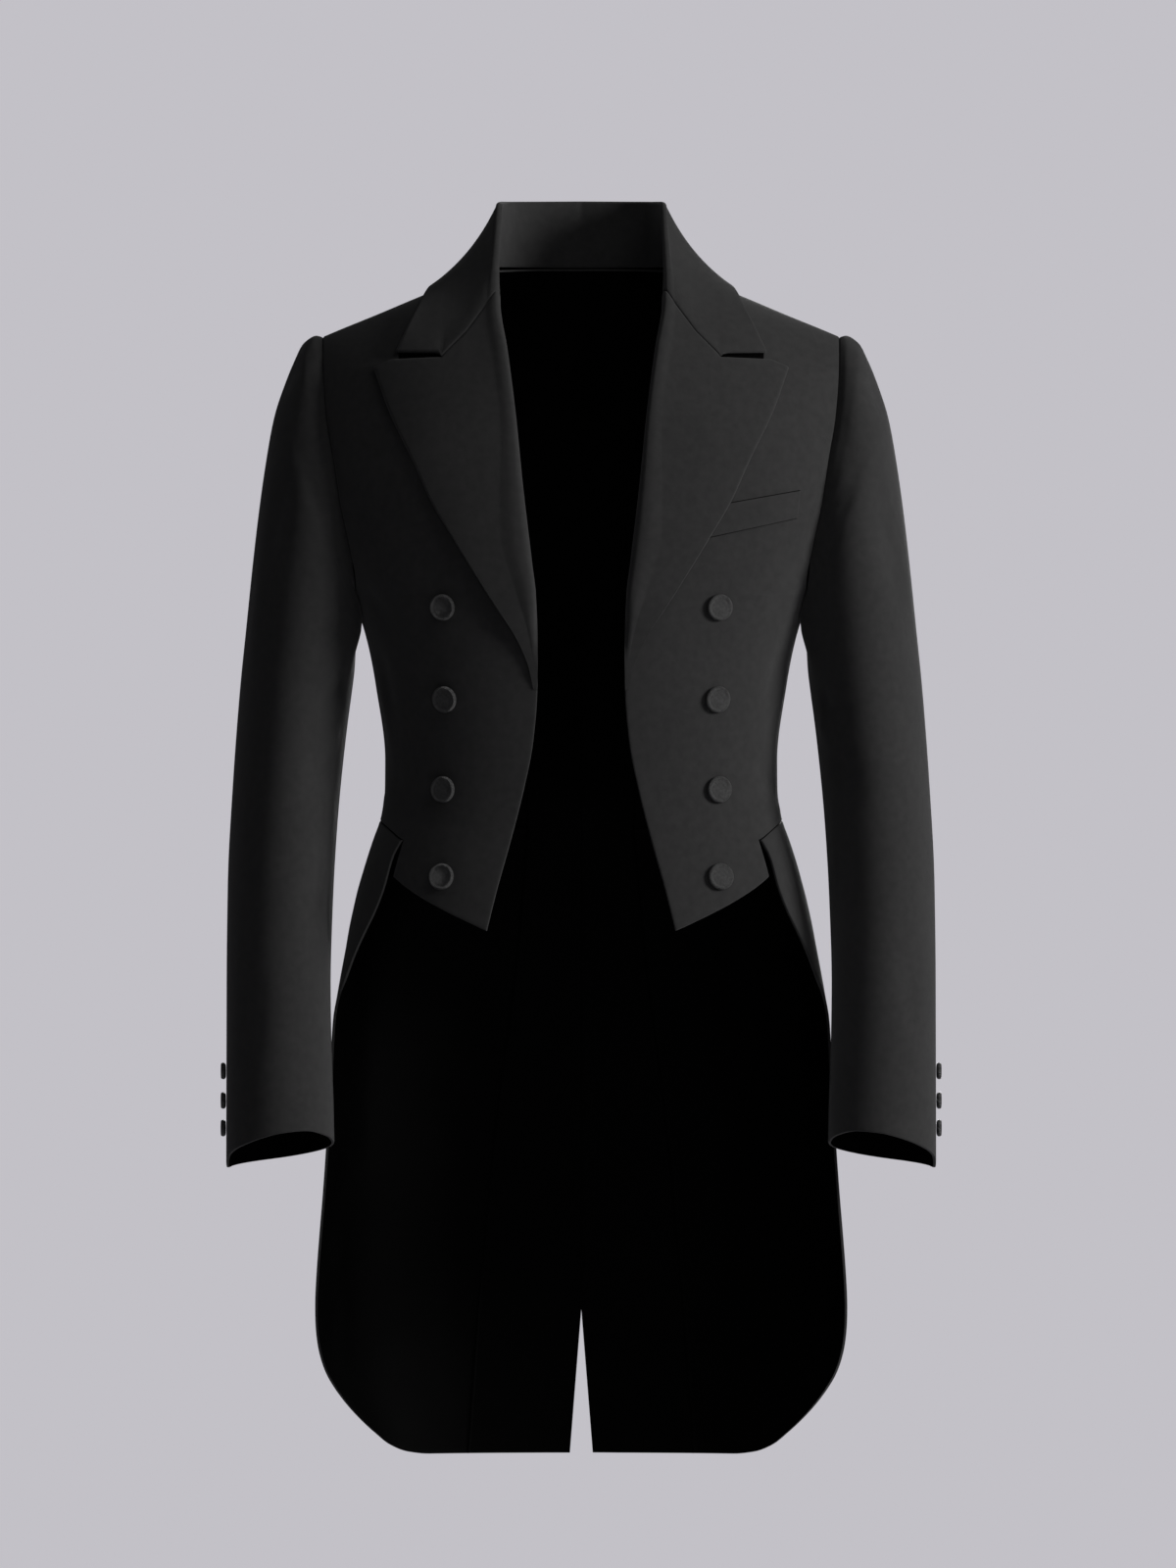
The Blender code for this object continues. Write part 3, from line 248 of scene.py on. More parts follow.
# soft folds of a sleeve: first degrees and section, last degrees and section, width, depth, mm
SLEEVE_FOLDS = [
    (150, 8.2, 108, 9.6, 11, -2.1), (158, 9.2, 118, 10.4, 9, 1.5), (146, 10.1, 96, 10.9, 12, -2.3),
    (160, 11.0, 112, 11.4, 10, 1.3), (150, 11.8, 104, 11.9, 12, -1.6), (60, 5.0, 42, 8.4, 17, -1.9),
    (34, 6.4, 26, 9.6, 15, 1.2), (22, 2.6, 12, 4.6, 14, -1.3), (98, 2.2, 84, 5.0, 14, -1.2),
    (214, 6.4, 240, 9.0, 15, -2.0), (230, 9.4, 262, 10.6, 13, -1.8), (250, 10.8, 284, 11.6, 12, 1.3),
    (300, 5.0, 320, 8.8, 18, -1.9), (70, 12.6, 52, 14.2, 14, -1.0), (284, 12.4, 300, 14.4, 15, -1.1),
]


def slopes(knots, values):
    """Slopes at the knots that keep a smooth run free of overshoot."""
    step = np.diff(knots)
    rise = np.diff(values) / step
    slope = np.zeros(len(knots))
    slope[0] = rise[0]
    slope[-1] = rise[-1]
    for place in range(1, len(knots) - 1):
        before = rise[place - 1]
        after = rise[place]
        if before * after > 0.0:
            first = 2.0 * step[place] + step[place - 1]
            second = step[place] + 2.0 * step[place - 1]
            slope[place] = (first + second) / (first / before + second / after)
    return slope


class Run:
    """A smooth run of several columns against one rising column."""

    def __init__(self, knots, columns):
        self.knots = np.array(knots, dtype=float)
        self.columns = [np.array(column, dtype=float) for column in columns]
        self.slopes = [slopes(self.knots, column) for column in self.columns]

    def at(self, where):
        """Every column at one place or at many."""
        where = np.clip(np.asarray(where, dtype=float), self.knots[0], self.knots[-1])
        place = np.searchsorted(self.knots, where, side="right") - 1
        place = np.clip(place, 0, len(self.knots) - 2)
        step = self.knots[place + 1] - self.knots[place]
        part = (where - self.knots[place]) / step
        weight_a = (1.0 + 2.0 * part) * (1.0 - part) ** 2
        weight_b = part * (1.0 - part) ** 2
        weight_c = part * part * (3.0 - 2.0 * part)
        weight_d = part * part * (part - 1.0)
        found = []
        for column, slope in zip(self.columns, self.slopes):
            value = weight_a * column[place] + weight_c * column[place + 1]
            value = value + step * (weight_b * slope[place] + weight_d * slope[place + 1])
            found.append(value)
        return found


def run_of(rows, scale=MM, first_scale=MM):
    """A run from table rows, keyed by their first column."""
    rows = sorted(rows, key=lambda row: row[0])
    knots = [row[0] * first_scale for row in rows]
    columns = [[row[place] * scale for row in rows] for place in range(1, len(rows[0]))]
    return Run(knots, columns)


body_run = run_of(BODY)
shoulder_run = run_of(SHOULDER)
front_edge_run = run_of(FRONT_EDGE)
armhole_run = run_of(ARMHOLE)
blade_run = run_of(BLADE_SEAM)
pleat_run = run_of(PLEAT)
waist_run = run_of(WAIST_SEAM, 1.0, 1.0)
hem_run = run_of(CUFF_HEM, MM, 1.0)
collar_roll_run = run_of(COLLAR_ROLL, MM, 1.0)
collar_edge_run = run_of(COLLAR_EDGE, MM, 1.0)
neckline_run = run_of(NECKLINE, MM, 1.0)
bearing_run = run_of(COLLAR_BEARING, 1.0, 1.0)
sleeve_run = Run(range(len(SLEEVE)), [[row[place] * MM for row in SLEEVE] for place in range(6)])


def smooth(value):
    """Ease a share from 0 to 1."""
    value = np.clip(value, 0.0, 1.0)
    return value * value * (3.0 - 2.0 * value)


def unit(vectors):
    """Vectors of length one."""
    return vectors / np.maximum(np.linalg.norm(vectors, axis=-1, keepdims=True), 1e-12)


def even(count, start=0.0, end=1.0):
    """Even places from start to end."""
    return np.linspace(start, end, count + 1)


def between(values, parts):
    """A list of values with even places filled in between each pair."""
    values = np.asarray(values, dtype=float)
    places = even((len(values) - 1) * parts, 0.0, len(values) - 1.0)
    if values.ndim == 1:
        return np.interp(places, np.arange(len(values)), values)
    columns = [np.interp(places, np.arange(len(values)), column) for column in values.T]
    return np.stack(columns, axis=-1)


def form(angle, height):
    """Points of the worn form; the angle runs from the front round the left side."""
    angle, height = np.broadcast_arrays(np.asarray(angle, float), np.asarray(height, float))
    half, front, back = body_run.at(height)
    across = np.sin(angle)
    along = np.cos(angle)
    reach = (np.abs(across) ** SQUARENESS + np.abs(along) ** SQUARENESS) ** (-1.0 / SQUARENESS)
    place_x = half * reach * across
    behind = smooth((np.abs(np.degrees(angle)) - 60.0) / 60.0)
    depth = front + (back - front) * behind
    drop = shoulder_run.at(np.abs(place_x))[0] - height
    share = np.clip(drop / SHOULDER_ROUND, 0.0, 1.0)
    out = np.sqrt(1.0 - (1.0 - share) ** 2)
    return np.stack([place_x, -depth * reach * along * out, height], axis=-1)


def form_normal(angle, height):
    """Outward directions of the worn form."""
    turn = 0.002
    rise = 0.0004
    around = form(angle + turn, height) - form(angle - turn, height)
    up = form(angle, height + rise) - form(angle, height - rise)
    normal = np.cross(around, up)
    place = form(angle, height)
    at_ridge = shoulder_run.at(np.abs(place[..., 0]))[0] - place[..., 2] < 0.3 * MM
    normal[..., 1] = np.where(at_ridge, 0.0, normal[..., 1])
    return unit(normal)


def angle_of(place_x, height, behind):
    """Angle of the form where it reaches a distance from the middle."""
    place_x = np.asarray(place_x, dtype=float)
    half = body_run.at(height)[0]
    share = np.minimum(np.abs(place_x) / half, 0.99999) ** SQUARENESS
    angle = np.arctan((share / (1.0 - share)) ** (1.0 / SQUARENESS))
    angle = np.copysign(angle, place_x)
    return np.where(behind, math.pi - angle, angle)


def spots(place_x, height, behind):
    """Angle and height of places given by distance and height."""
    height = np.asarray(height, dtype=float)
    return np.stack([angle_of(place_x, height, behind), height + 0.0 * place_x], axis=-1)


def spaced(line, count):
    """Spots resampled evenly by length along a line of spots."""
    line = np.asarray(line, dtype=float)
    length = np.linalg.norm(np.diff(line * np.array([0.16, 1.0]), axis=0), axis=1)
    knots = np.concatenate([[0.0], np.cumsum(length)])
    places = even(count, 0.0, knots[-1])
    return np.stack([np.interp(places, knots, column) for column in line.T], axis=-1)


def curved(line, count):
    """Points drawn smoothly and evenly along a line of corners."""
    line = np.asarray(line, dtype=float)
    scale = np.array([0.16, 1.0]) if abs(line[:, 0]).max() > 1.0 else np.array([1.0, 1.0])
    length = np.linalg.norm(np.diff(line * scale, axis=0), axis=1)
    knots = np.concatenate([[0.0], np.cumsum(length)])
    dense = Run(knots, line.T).at(even(600, 0.0, knots[-1]))
    return spaced(np.stack(dense, axis=-1), count)


def spread_net(foot, top, near, far):
    """Spots of a net spread between four borders of listed spots."""
    over = even(len(foot) - 1)[None, :, None]
    up = even(len(near) - 1)[:, None, None]
    net = (1.0 - up) * foot[None] + up * top[None]
    net = net + (1.0 - over) * near[:, None] + over * far[:, None]
    net = net - (1.0 - over) * (1.0 - up) * foot[0] - over * (1.0 - up) * foot[-1]
    return net - (1.0 - over) * up * top[0] - over * up * top[-1]


def armhole_spots(degrees):
    """Angles and heights on the armhole, round from the shoulder through the front."""
    degrees = np.asarray(degrees, dtype=float) % 360.0
    middle = 0.5 * (SHOULDER_TIP[1] + UNDERARM)
    height = middle + (SHOULDER_TIP[1] - middle) * np.cos(np.radians(degrees))
    ahead, back = armhole_run.at(height)
    behind = degrees > 180.0
    angle = angle_of(np.where(behind, back, ahead), height, behind)
    angle = np.where(np.abs(degrees - 180.0) < 0.01, SIDE_SEAM, angle)
    return np.stack([angle, height], axis=-1)


def front_edge(height):
    """Distance of the front panel's edge, set back where the lapel rolls over it."""
    under = smooth((height + 0.336) / 0.030)
    return front_edge_run.at(height)[0] + EDGE_SETBACK * under


def shoulder_spots(count, behind):
    """Angles and heights along the shoulder seam from the neck to its tip."""
    place_x = even(count, 0.0800, SHOULDER_TIP[0])
    found = spots(place_x, shoulder_run.at(place_x)[0], behind)
    found[-1] = armhole_spots(ARM_END if behind else 0.0)
    return found


SIDE_SEAM = math.radians(90.0)
STRAP_CORNER = float(angle_of(0.1480, -0.4650, False))
BACK_CORNER = float(angle_of(0.0450, WAIST_BACK, True))
ARM_FRONT = even(12 * FINE, 0.0, 180.0)
ARM_UNDER = even(6 * FINE, 180.0, 253.0)
ARM_BACK = even(7 * FINE, 253.0, 360.0)
ARM_END = 359.9999
ARM_BACK[-1] = ARM_END


def waist_spots(count, start, end):
    """Spots along the waist seam between two angles."""
    angle = even(count, start, end)
    return np.stack([angle, waist_run.at(np.degrees(angle))[0]], axis=-1)


def seam_spots():
    """The seams that neighbouring pieces share."""
    seams = {}
    waist = float(waist_run.at(90.0)[0])
    heights = even(10 * FINE, waist, UNDERARM)
    seams["side"] = np.stack([np.full(len(heights), SIDE_SEAM), heights], axis=-1)
    top = armhole_spots(253.0)
    heights = even(200, WAIST_BACK, float(top[1]))
    blade = spots(blade_run.at(heights)[0], heights, True)
    blade[-1] = top
    seams["blade"] = spaced(blade, 10 * FINE)
    heights = even(200, HEM, WAIST_BACK)
    seams["pleat"] = spaced(spots(pleat_run.at(heights)[0], heights, True), 16 * FINE)
    seams["waist_front"] = waist_spots(5 * FINE, STRAP_CORNER, SIDE_SEAM)
    seams["waist_side"] = waist_spots(6 * FINE, SIDE_SEAM, BACK_CORNER)
    miss = WAIST_BACK - seams["waist_side"][-1, 1]
    seams["waist_side"][-FINE - 1:, 1] += miss * even(FINE)
    return seams


SEAMS = seam_spots()


def fold_shape(points, folds):
    """Depth of soft folds at points; each fold is two ends, a width and a depth."""
    total = np.zeros(points.shape[:-1])
    for start, end, width, depth in folds:
        along = end - start
        length = np.linalg.norm(along)
        share = ((points - start) @ along) / length ** 2
        nearest = start + np.clip(share, 0.0, 1.0)[..., None] * along
        middle = 1.0 - 0.35 * np.clip(share, 0.0, 1.0)
        off = np.linalg.norm(points - nearest, axis=-1) / (width * middle)
        fade = smooth(np.clip(share, 0.0, 1.0) / 0.3) * smooth((1.0 - np.clip(share, 0.0, 1.0)) / 0.45)
        total = total + depth * fade * np.exp(-off * off)
    return total


def body_folds(side):
    """The folds of the body and tails on one side, each side a little different."""
    found = []
    for place, row in enumerate(BODY_FOLDS):
        shift = 2.2 * math.sin(2.3 * place + (0.0 if side == "left" else 1.7))
        drop = 9.0 * MM * math.sin(1.3 * place + (0.6 if side == "left" else 2.9))
        start = form(math.radians(row[0] + shift), row[1] * MM + drop)
        end = form(math.radians(row[2] + shift), row[3] * MM + drop * 0.4)
        found.append((start, end, row[4] * MM, row[5] * MM * BODY_FOLD_GAIN))
    return found


class Net:
    """A net of cloth: places, outward directions and cloth coordinates."""

    def __init__(self, points, normals):
        across = np.linalg.norm(np.diff(points, axis=1), axis=-1)
        across = np.concatenate([np.zeros((len(points), 1)), np.cumsum(across, axis=1)], axis=1)
        middle = points.shape[1] // 2
        up = np.linalg.norm(np.diff(points[:, middle], axis=0), axis=-1)
        up = np.concatenate([[0.0], np.cumsum(up)])
        across = across - across[:, middle: middle + 1]
        up = np.broadcast_to(up[:, None], across.shape)
        self.data = np.concatenate([points, normals, across[..., None], up[..., None]], axis=-1)
        self.cut = None
        # picks outer faces painted with the black lining as painted shade
        self.shaded = None

    @property
    def points(self):
        return self.data[..., 0:3]

    @property
    def normals(self):
        return self.data[..., 3:6]

    def turned(self):
        """The same net on the wearer's right."""
        other = Net(self.points, self.normals)
        other.data = self.data.copy()
        other.data[..., 0] *= -1.0
        other.data[..., 3] *= -1.0
        other.cut = self.cut
        other.shaded = self.shaded
        return other

    def line(self, axis, index):
        """One row or column of the net."""
        return self.data[index] if axis == 0 else self.data[:, index]

    def pull(self, axis, index, step, amount=CLOSE_SEAM):
        """Draw a border back from its seam."""
        border = self.line(axis, index)
        beside = self.line(axis, index + step)
        border[..., 0:3] += unit(beside[..., 0:3] - border[..., 0:3]) * amount

    def edge_lines(self, axis, index, step, dip=EDGE_DIP):
        """Add close lines beside a border and press the border down a little."""
        if index < 0:
            index += self.data.shape[axis]
        for reach in EDGE_LINES:
            border = self.line(axis, index)
            beside = self.line(axis, index + step)
            length = np.linalg.norm(beside[..., 0:3] - border[..., 0:3], axis=-1, keepdims=True)
            share = np.minimum(reach / np.maximum(length, 1e-9), 0.6)
            added = border + (beside - border) * share
            place = index + 1 if step > 0 else index
            self.data = np.insert(self.data, place, added, axis=axis)
            if step < 0:
                index += 1
        border = self.line(axis, index)
        near = self.line(axis, index + step)
        if callable(dip):
            dip = dip(border[..., 0:3])[..., None]
        border[..., 0:3] -= border[..., 3:6] * dip
        near[..., 0:3] -= near[..., 3:6] * dip * 0.3

    def borders(self, foot, top, near, far):
        """Press the four borders down by their own dips; None leaves a border as it is."""
        for axis, index, step, dip in ((0, 0, 1, foot), (0, -1, -1, top), (1, 0, 1, near), (1, -1, -1, far)):
            if dip is not None:
                self.edge_lines(axis, index, step, dip)

    def relief(self, depths):
        """Move the net in or out along its outward directions."""
        self.data[..., 0:3] += self.normals * depths[..., None]


def arm_dip(points):
    """Depth of a border's seam: deeper where it runs round the armhole."""
    return SEAM_DIP + (ARM_DIP - SEAM_DIP) * smooth((points[..., 2] - UNDERARM) / ARM_EASE)


def free_normals(points):
    """Outward directions of a free net, rows by columns."""
    along = np.gradient(points, axis=1)
    up = np.gradient(points, axis=0)
    return unit(np.cross(along, up))


def form_net(net, lift=None):
    """A net of spots laid on the form."""
    points = form(net[..., 0], net[..., 1])
    normals = form_normal(net[..., 0], net[..., 1])
    if lift is not None:
        points = points + normals * lift(points)[..., None]
    return Net(points, normals)


def place_mesh(name, mesh, materials):
    """Put a finished mesh in the scene."""
    data = bpy.data.meshes.new(name)
    mesh.to_mesh(data)
    mesh.free()
    for material in materials:
        data.materials.append(material)
    item = bpy.data.objects.new(name, data)
    bpy.context.scene.collection.objects.link(item)
    return item


def new_object(name, mesh, materials):
    """A finished piece of the coat, shaded smooth and held by the one body."""
    item = place_mesh(name, mesh, materials)
    item.data.shade_smooth()
    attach(item, "root")
    return item


def in_notch_shade(place):
    """Whether a place lies in the slot between the lapel's peak and the collar, where faces are painted black
    as painted shade.
    """
    near, far, low, high = NOTCH_SHADE
    return near < abs(place.x) < far and low < place.z < high


def shell(name, net, wall, materials):
    """Close a net into a thin shell of cloth with a lining inside and soft edges; outer faces the net marks
    as shaded take the black lining as painted shade.
    """
    rows, columns = net.data.shape[0] - 1, net.data.shape[1] - 1
    mesh = bmesh.new()
    bmesh.ops.create_grid(mesh, x_segments=columns, y_segments=rows, size=1.0)
    place_tag = mesh.verts.layers.int.new("place")
    cloth_map = mesh.loops.layers.uv.new("cloth")
    for corner in mesh.verts:
        column = round((corner.co.x + 1.0) * 0.5 * columns)
        row = round((corner.co.y + 1.0) * 0.5 * rows)
        corner[place_tag] = row * (columns + 1) + column
    flat = net.data.reshape(-1, 8)
    if net.cut is not None:
        row_cut, column_cut = net.cut
        gone = []
        for face in mesh.faces:
            places = [corner[place_tag] for corner in face.verts]
            beyond = min(place % (columns + 1) for place in places) >= column_cut
            if beyond and max(places) // (columns + 1) <= row_cut:
                gone.append(face)
        bmesh.ops.delete(mesh, geom=gone, context="FACES")
    for corner in mesh.verts:
        corner.co = flat[corner[place_tag], 0:3]
    for face in mesh.faces:
        for loop in face.loops:
            loop[cloth_map].uv = flat[loop.vert[place_tag], 6:8]
    outer = set(mesh.faces)
    for face in mesh.faces:
        places = [corner[place_tag] for corner in face.verts]
        row = min(places) // (columns + 1)
        column = min(place % (columns + 1) for place in places)
        # painted shade: outer faces the net marks as shaded take the black lining material
        if net.shaded is not None and net.shaded(row, column, face.calc_center_median()):
            face.material_index = 1
    geometry = mesh.faces[:] + mesh.edges[:] + mesh.verts[:]
    grown = bmesh.ops.extrude_face_region(mesh, geom=geometry, use_keep_orig=True)
    inner = set()
    for item in grown["geom"]:
        if isinstance(item, bmesh.types.BMVert):
            item.co -= Vector(flat[item[place_tag], 3:6]) * wall
        elif isinstance(item, bmesh.types.BMFace):
            item.material_index = 1
            inner.add(item)
    rims = []
    for edge in mesh.edges:
        faces = edge.link_faces
        if all(face in outer or face in inner for face in faces):
            continue
        if any(face in outer for face in faces):
            rims.append(edge)
        elif any(face in inner for face in faces):
            edge.smooth = False
    bmesh.ops.recalc_face_normals(mesh, faces=mesh.faces[:])
    bmesh.ops.bevel(
        mesh,
        geom=rims,
        offset=EDGE_ROUND,
        segments=2,
        profile=0.5,
        affect="EDGES",
        material=-1,
        clamp_overlap=True,
    )
    return new_object(name, mesh, materials)


def sided(kind, side, net, wall, materials):
    """A piece of cloth on one side of the wearer, mirrored for the right."""
    if side == "right":
        net = net.turned()
    return shell("cloth_%s_%s" % (kind, side), net, wall, materials)


def front_nets():
    """Front panel with its strap, from below the waist to the shoulder."""
    rows = 22
    arm = armhole_spots(ARM_FRONT[::-1])
    far = np.concatenate([SEAMS["side"][:-1], arm])
    coarse = even(rows, -0.478, 0.0118)
    heights = between(coarse, FINE)
    near = spots(front_edge(heights), heights, False)
    top = shoulder_spots(11 * FINE, False)
    last = near[-FINE - 1].copy()
    near[-FINE - 1:] = last + (top[0] - last) * even(FINE)[:, None]
    start = spaced([near[0], SEAMS["waist_front"][0]], 6 * FINE)
    foot = np.concatenate([start, SEAMS["waist_front"][1:]])
    panel = spread_net(foot, top, near, far)
    corner = spots(0.1566, -0.4953, False)
    strap_top = panel[0, : 6 * FINE + 1]
    heights = even(4 * FINE, -0.540, float(strap_top[0, 1]))
    strap_near = spots(front_edge(heights), heights, False)
    strap_near[-1] = strap_top[0]
    strap_far = spaced([corner, strap_top[-1]], 4 * FINE)
    strap_foot = spaced([strap_near[0], corner], 6 * FINE)
    strap = spread_net(strap_foot, strap_top, strap_near, strap_far)[:-1]
    wide = np.concatenate([strap, np.repeat(strap[:, -1:], 5 * FINE, axis=1)], axis=1)
    wide[:, 6 * FINE + 1:] += (even(5 * FINE, 0.0, 0.02)[1:, None] * np.array([1.0, 0.0]))[None]
    net = form_net(np.concatenate([wide, panel]))
    waist = 4 * FINE
    split = 6 * FINE
    beyond = net.data[waist, split + 1:, 0:3]
    inward = net.data[waist + 1, split + 1:, 0:3] - beyond
    beyond += unit(inward) * CLOSE_SEAM
    side = net.data[waist:, -1, 0:3]
    side += unit(net.data[waist:, -2, 0:3] - side) * CLOSE_SEAM
    net.data[-1, :, 1] -= HALF_SEAM
    return net, waist, split


def make_fronts(materials):
    """Front panels of both sides."""
    items = {}
    for side in SIDES:
        net, waist, split = front_nets()
        net.relief(fold_shape(net.points, body_folds(side)) * off_lapel(net.points))
        net.edge_lines(0, 0, 1)
        waist += 2
        net.edge_lines(0, waist, 1, 0.0)
        net.edge_lines(0, -1, -1, SEAM_DIP)
        net.edge_lines(1, 0, 1)
        split += 2
        net.edge_lines(1, split, -1, 0.0)
        split += 2
        net.edge_lines(1, -1, -1, arm_dip)
        net.cut = (waist, split)
        last = net.data.shape[1] - 2
        # painted shade: the notch slot and a strip beside the armhole seam above the underarm take the black
        # lining
        net.shaded = lambda row, column, place: in_notch_shade(place) or (
            column == last and place.z > UNDERARM + ARM_EASE
        )
        raised = WAIST_RAISE * smooth(np.arange(net.data.shape[1] - split) / 3.0)
        net.data[waist, split:, 0:3] += net.data[waist, split:, 3:6] * raised[:, None]
        items["front_" + side] = sided("front", side, net, WALL, materials)
    return items


def off_lapel(points):
    """1 where the front lies free of its lapel and collar."""
    edge = np.interp(points[..., 2], [row[1] * MM for row in LAPEL_EDGE], [row[0] * MM for row in LAPEL_EDGE])
    edge = np.where(points[..., 2] > -0.073, 1.0, edge)
    edge = np.where(points[..., 2] < -0.340, 0.0, edge)
    return smooth((points[..., 0] - edge - 0.004) / 0.02)


def make_side_bodies(materials):
    """Side bodies from the waist seam to the armhole."""
    items = {}
    for side in SIDES:
        spread = spread_net(SEAMS["waist_side"], armhole_spots(ARM_UNDER), SEAMS["side"], SEAMS["blade"])
        net = form_net(spread)
        net.relief(fold_shape(net.points, body_folds(side)))
        for axis in (1, 0):
            for index, step in ((0, 1), (-1, -1)):
                net.pull(axis, index, step)
                net.edge_lines(axis, index, step, SEAM_DIP)
        items["side_body_" + side] = sided("side_body", side, net, WALL, materials)
    return items


def vent_lift(points):
    """Lift of the lapping side near the middle of the back."""
    down = smooth((-0.432 - points[..., 2]) / 0.028)
    centre = 1.0 - smooth((points[..., 0] - 0.004) / 0.034)
    return VENT_LIFT * down * centre


def back_net(lap):
    """A back piece from the neck to the hem; lap is how far it crosses the middle."""
    heights = [-0.985, -0.957, -0.927, -0.896, -0.8635, -0.826, -0.786, -0.746, -0.706]
    heights += [-0.664, -0.622, -0.580, -0.540, -0.505, -0.472, -0.465]
    heights = between(heights + even(17, -0.450, 0.015).tolist(), FINE)
    place_x = np.interp(heights, [HEM, VENT_CLOSE, -0.472, -0.465], [VENT_HALF, 0.0, -lap, 0.0])
    near = spots(place_x, heights, True)
    far = np.concatenate([SEAMS["pleat"], SEAMS["blade"][1:], armhole_spots(ARM_BACK[1:])])
    place_x = between([0.0, 0.021, 0.042, 0.062, 0.080], FINE)
    neck = spots(place_x, 0.015 - 0.003 * (place_x / 0.080) ** 3, True)
    top = np.concatenate([neck[:-1], shoulder_spots(5 * FINE, True)])
    foot = spaced([near[0], far[0]], len(top) - 1)
    return spread_net(foot, top, near, far)


def make_backs(materials):
    """Back pieces; the left laps over the right below the waist."""
    items = {}
    for side, lap in (("left", VENT_LAP), ("right", 0.0)):
        net = form_net(back_net(lap), vent_lift if lap else None)
        net.relief(fold_shape(net.points, body_folds(side)))
        net.pull(1, 0, 1)
        net.pull(1, -1, -1)
        shoulder = net.data[-1, :, 0] > 0.0795
        net.data[-1, shoulder, 1] += HALF_SEAM
        net.borders(EDGE_DIP, SEAM_DIP, EDGE_DIP, SEAM_DIP)
        items["back_" + side] = sided("back", side, net, WALL, materials)
    return items


def skirt_spots(rows):
    """Angles and heights of the skirt's free edge."""
    found = []
    for height, place_x, degrees in rows:
        angle = math.radians(degrees) if degrees else float(angle_of(place_x * MM, height * MM, False))
        found.append((angle, height * MM))
    return np.array(found)


def make_skirts(materials):
    """Tails from the waist seam, the front edge cut away to a round corner."""
    items = {}
    near = skirt_spots(SKIRT_EDGE)[::-1]
    near[-1, 1] = waist_run.at(math.degrees(near[-1, 0]))[0]
    start = SEAMS["waist_front"][: FINE + 1].copy()
    start += (near[-1] - start[0]) * even(FINE)[::-1, None]
    top = np.concatenate([start, SEAMS["waist_front"][FINE + 1:], SEAMS["waist_side"][1:]])
    hem = np.concatenate([skirt_spots(SKIRT_HEM)[:-1], SEAMS["pleat"][:1]])
    foot = curved(hem, len(top) - 1)
    spread = spread_net(foot, top, curved(near, len(SEAMS["pleat"]) - 1), SEAMS["pleat"])
    for side in SIDES:
        net = form_net(spread)
        net.relief(fold_shape(net.points, body_folds(side)))
        net.pull(0, -1, -1)
        net.pull(1, -1, -1)
        net.borders(EDGE_DIP, WAIST_DIP, EDGE_DIP, SEAM_DIP)
        last = net.data.shape[0] - 2
        # painted shade: the strip along the waist seam takes the black lining, a painted shadow line under
        # the front's edge
        net.shaded = lambda row, column, place: row == last
        items["skirt_" + side] = sided("skirt", side, net, WALL, materials)
    return items


def sleeve_points(start, end, row):
    """Points of the sleeve's outer face at places round it and sections along it."""
    outer_x, outer_z, inner_x, inner_z, middle_y, depth = sleeve_run.at(row)
    turn = np.radians(start + (end - start) * smooth(row / 9.0))
    place_x = 0.5 * (outer_x + inner_x) + 0.5 * (outer_x - inner_x) * np.cos(turn)
    place_z = 0.5 * (outer_z + inner_z) + 0.5 * (outer_z - inner_z) * np.cos(turn)
    return np.stack([place_x, middle_y - depth * np.sin(turn), place_z], axis=-1)


def gathered(points, starts, rows):
    """Sleeve points drawn towards the body below the front of the armhole, clear of it."""
    size, middle, spread, clear = GATHER
    begin, growth, end, decay = GATHER_ALONG
    near = np.exp(-((starts - middle) / spread) ** 2)
    share = near * smooth((rows - begin) / growth) * (1.0 - smooth((rows - end) / decay))
    moved = points.copy()
    moved[..., 0] -= size * share
    angle = angle_of(moved[..., 0], moved[..., 2], False)
    normal = form_normal(angle, moved[..., 2])
    off = np.sum((moved - form(angle, moved[..., 2])) * normal, axis=-1)
    round_it, easing, last, fading = GATHER_KEPT
    here = smooth((round_it - np.abs(starts - middle)) / easing)
    here = here * smooth(rows) * (1.0 - smooth((rows - last) / fading))
    here = np.where(starts < 179.9, here, 0.0)
    return moved + normal * (np.maximum(clear - off, 0.0) * here)[..., None]


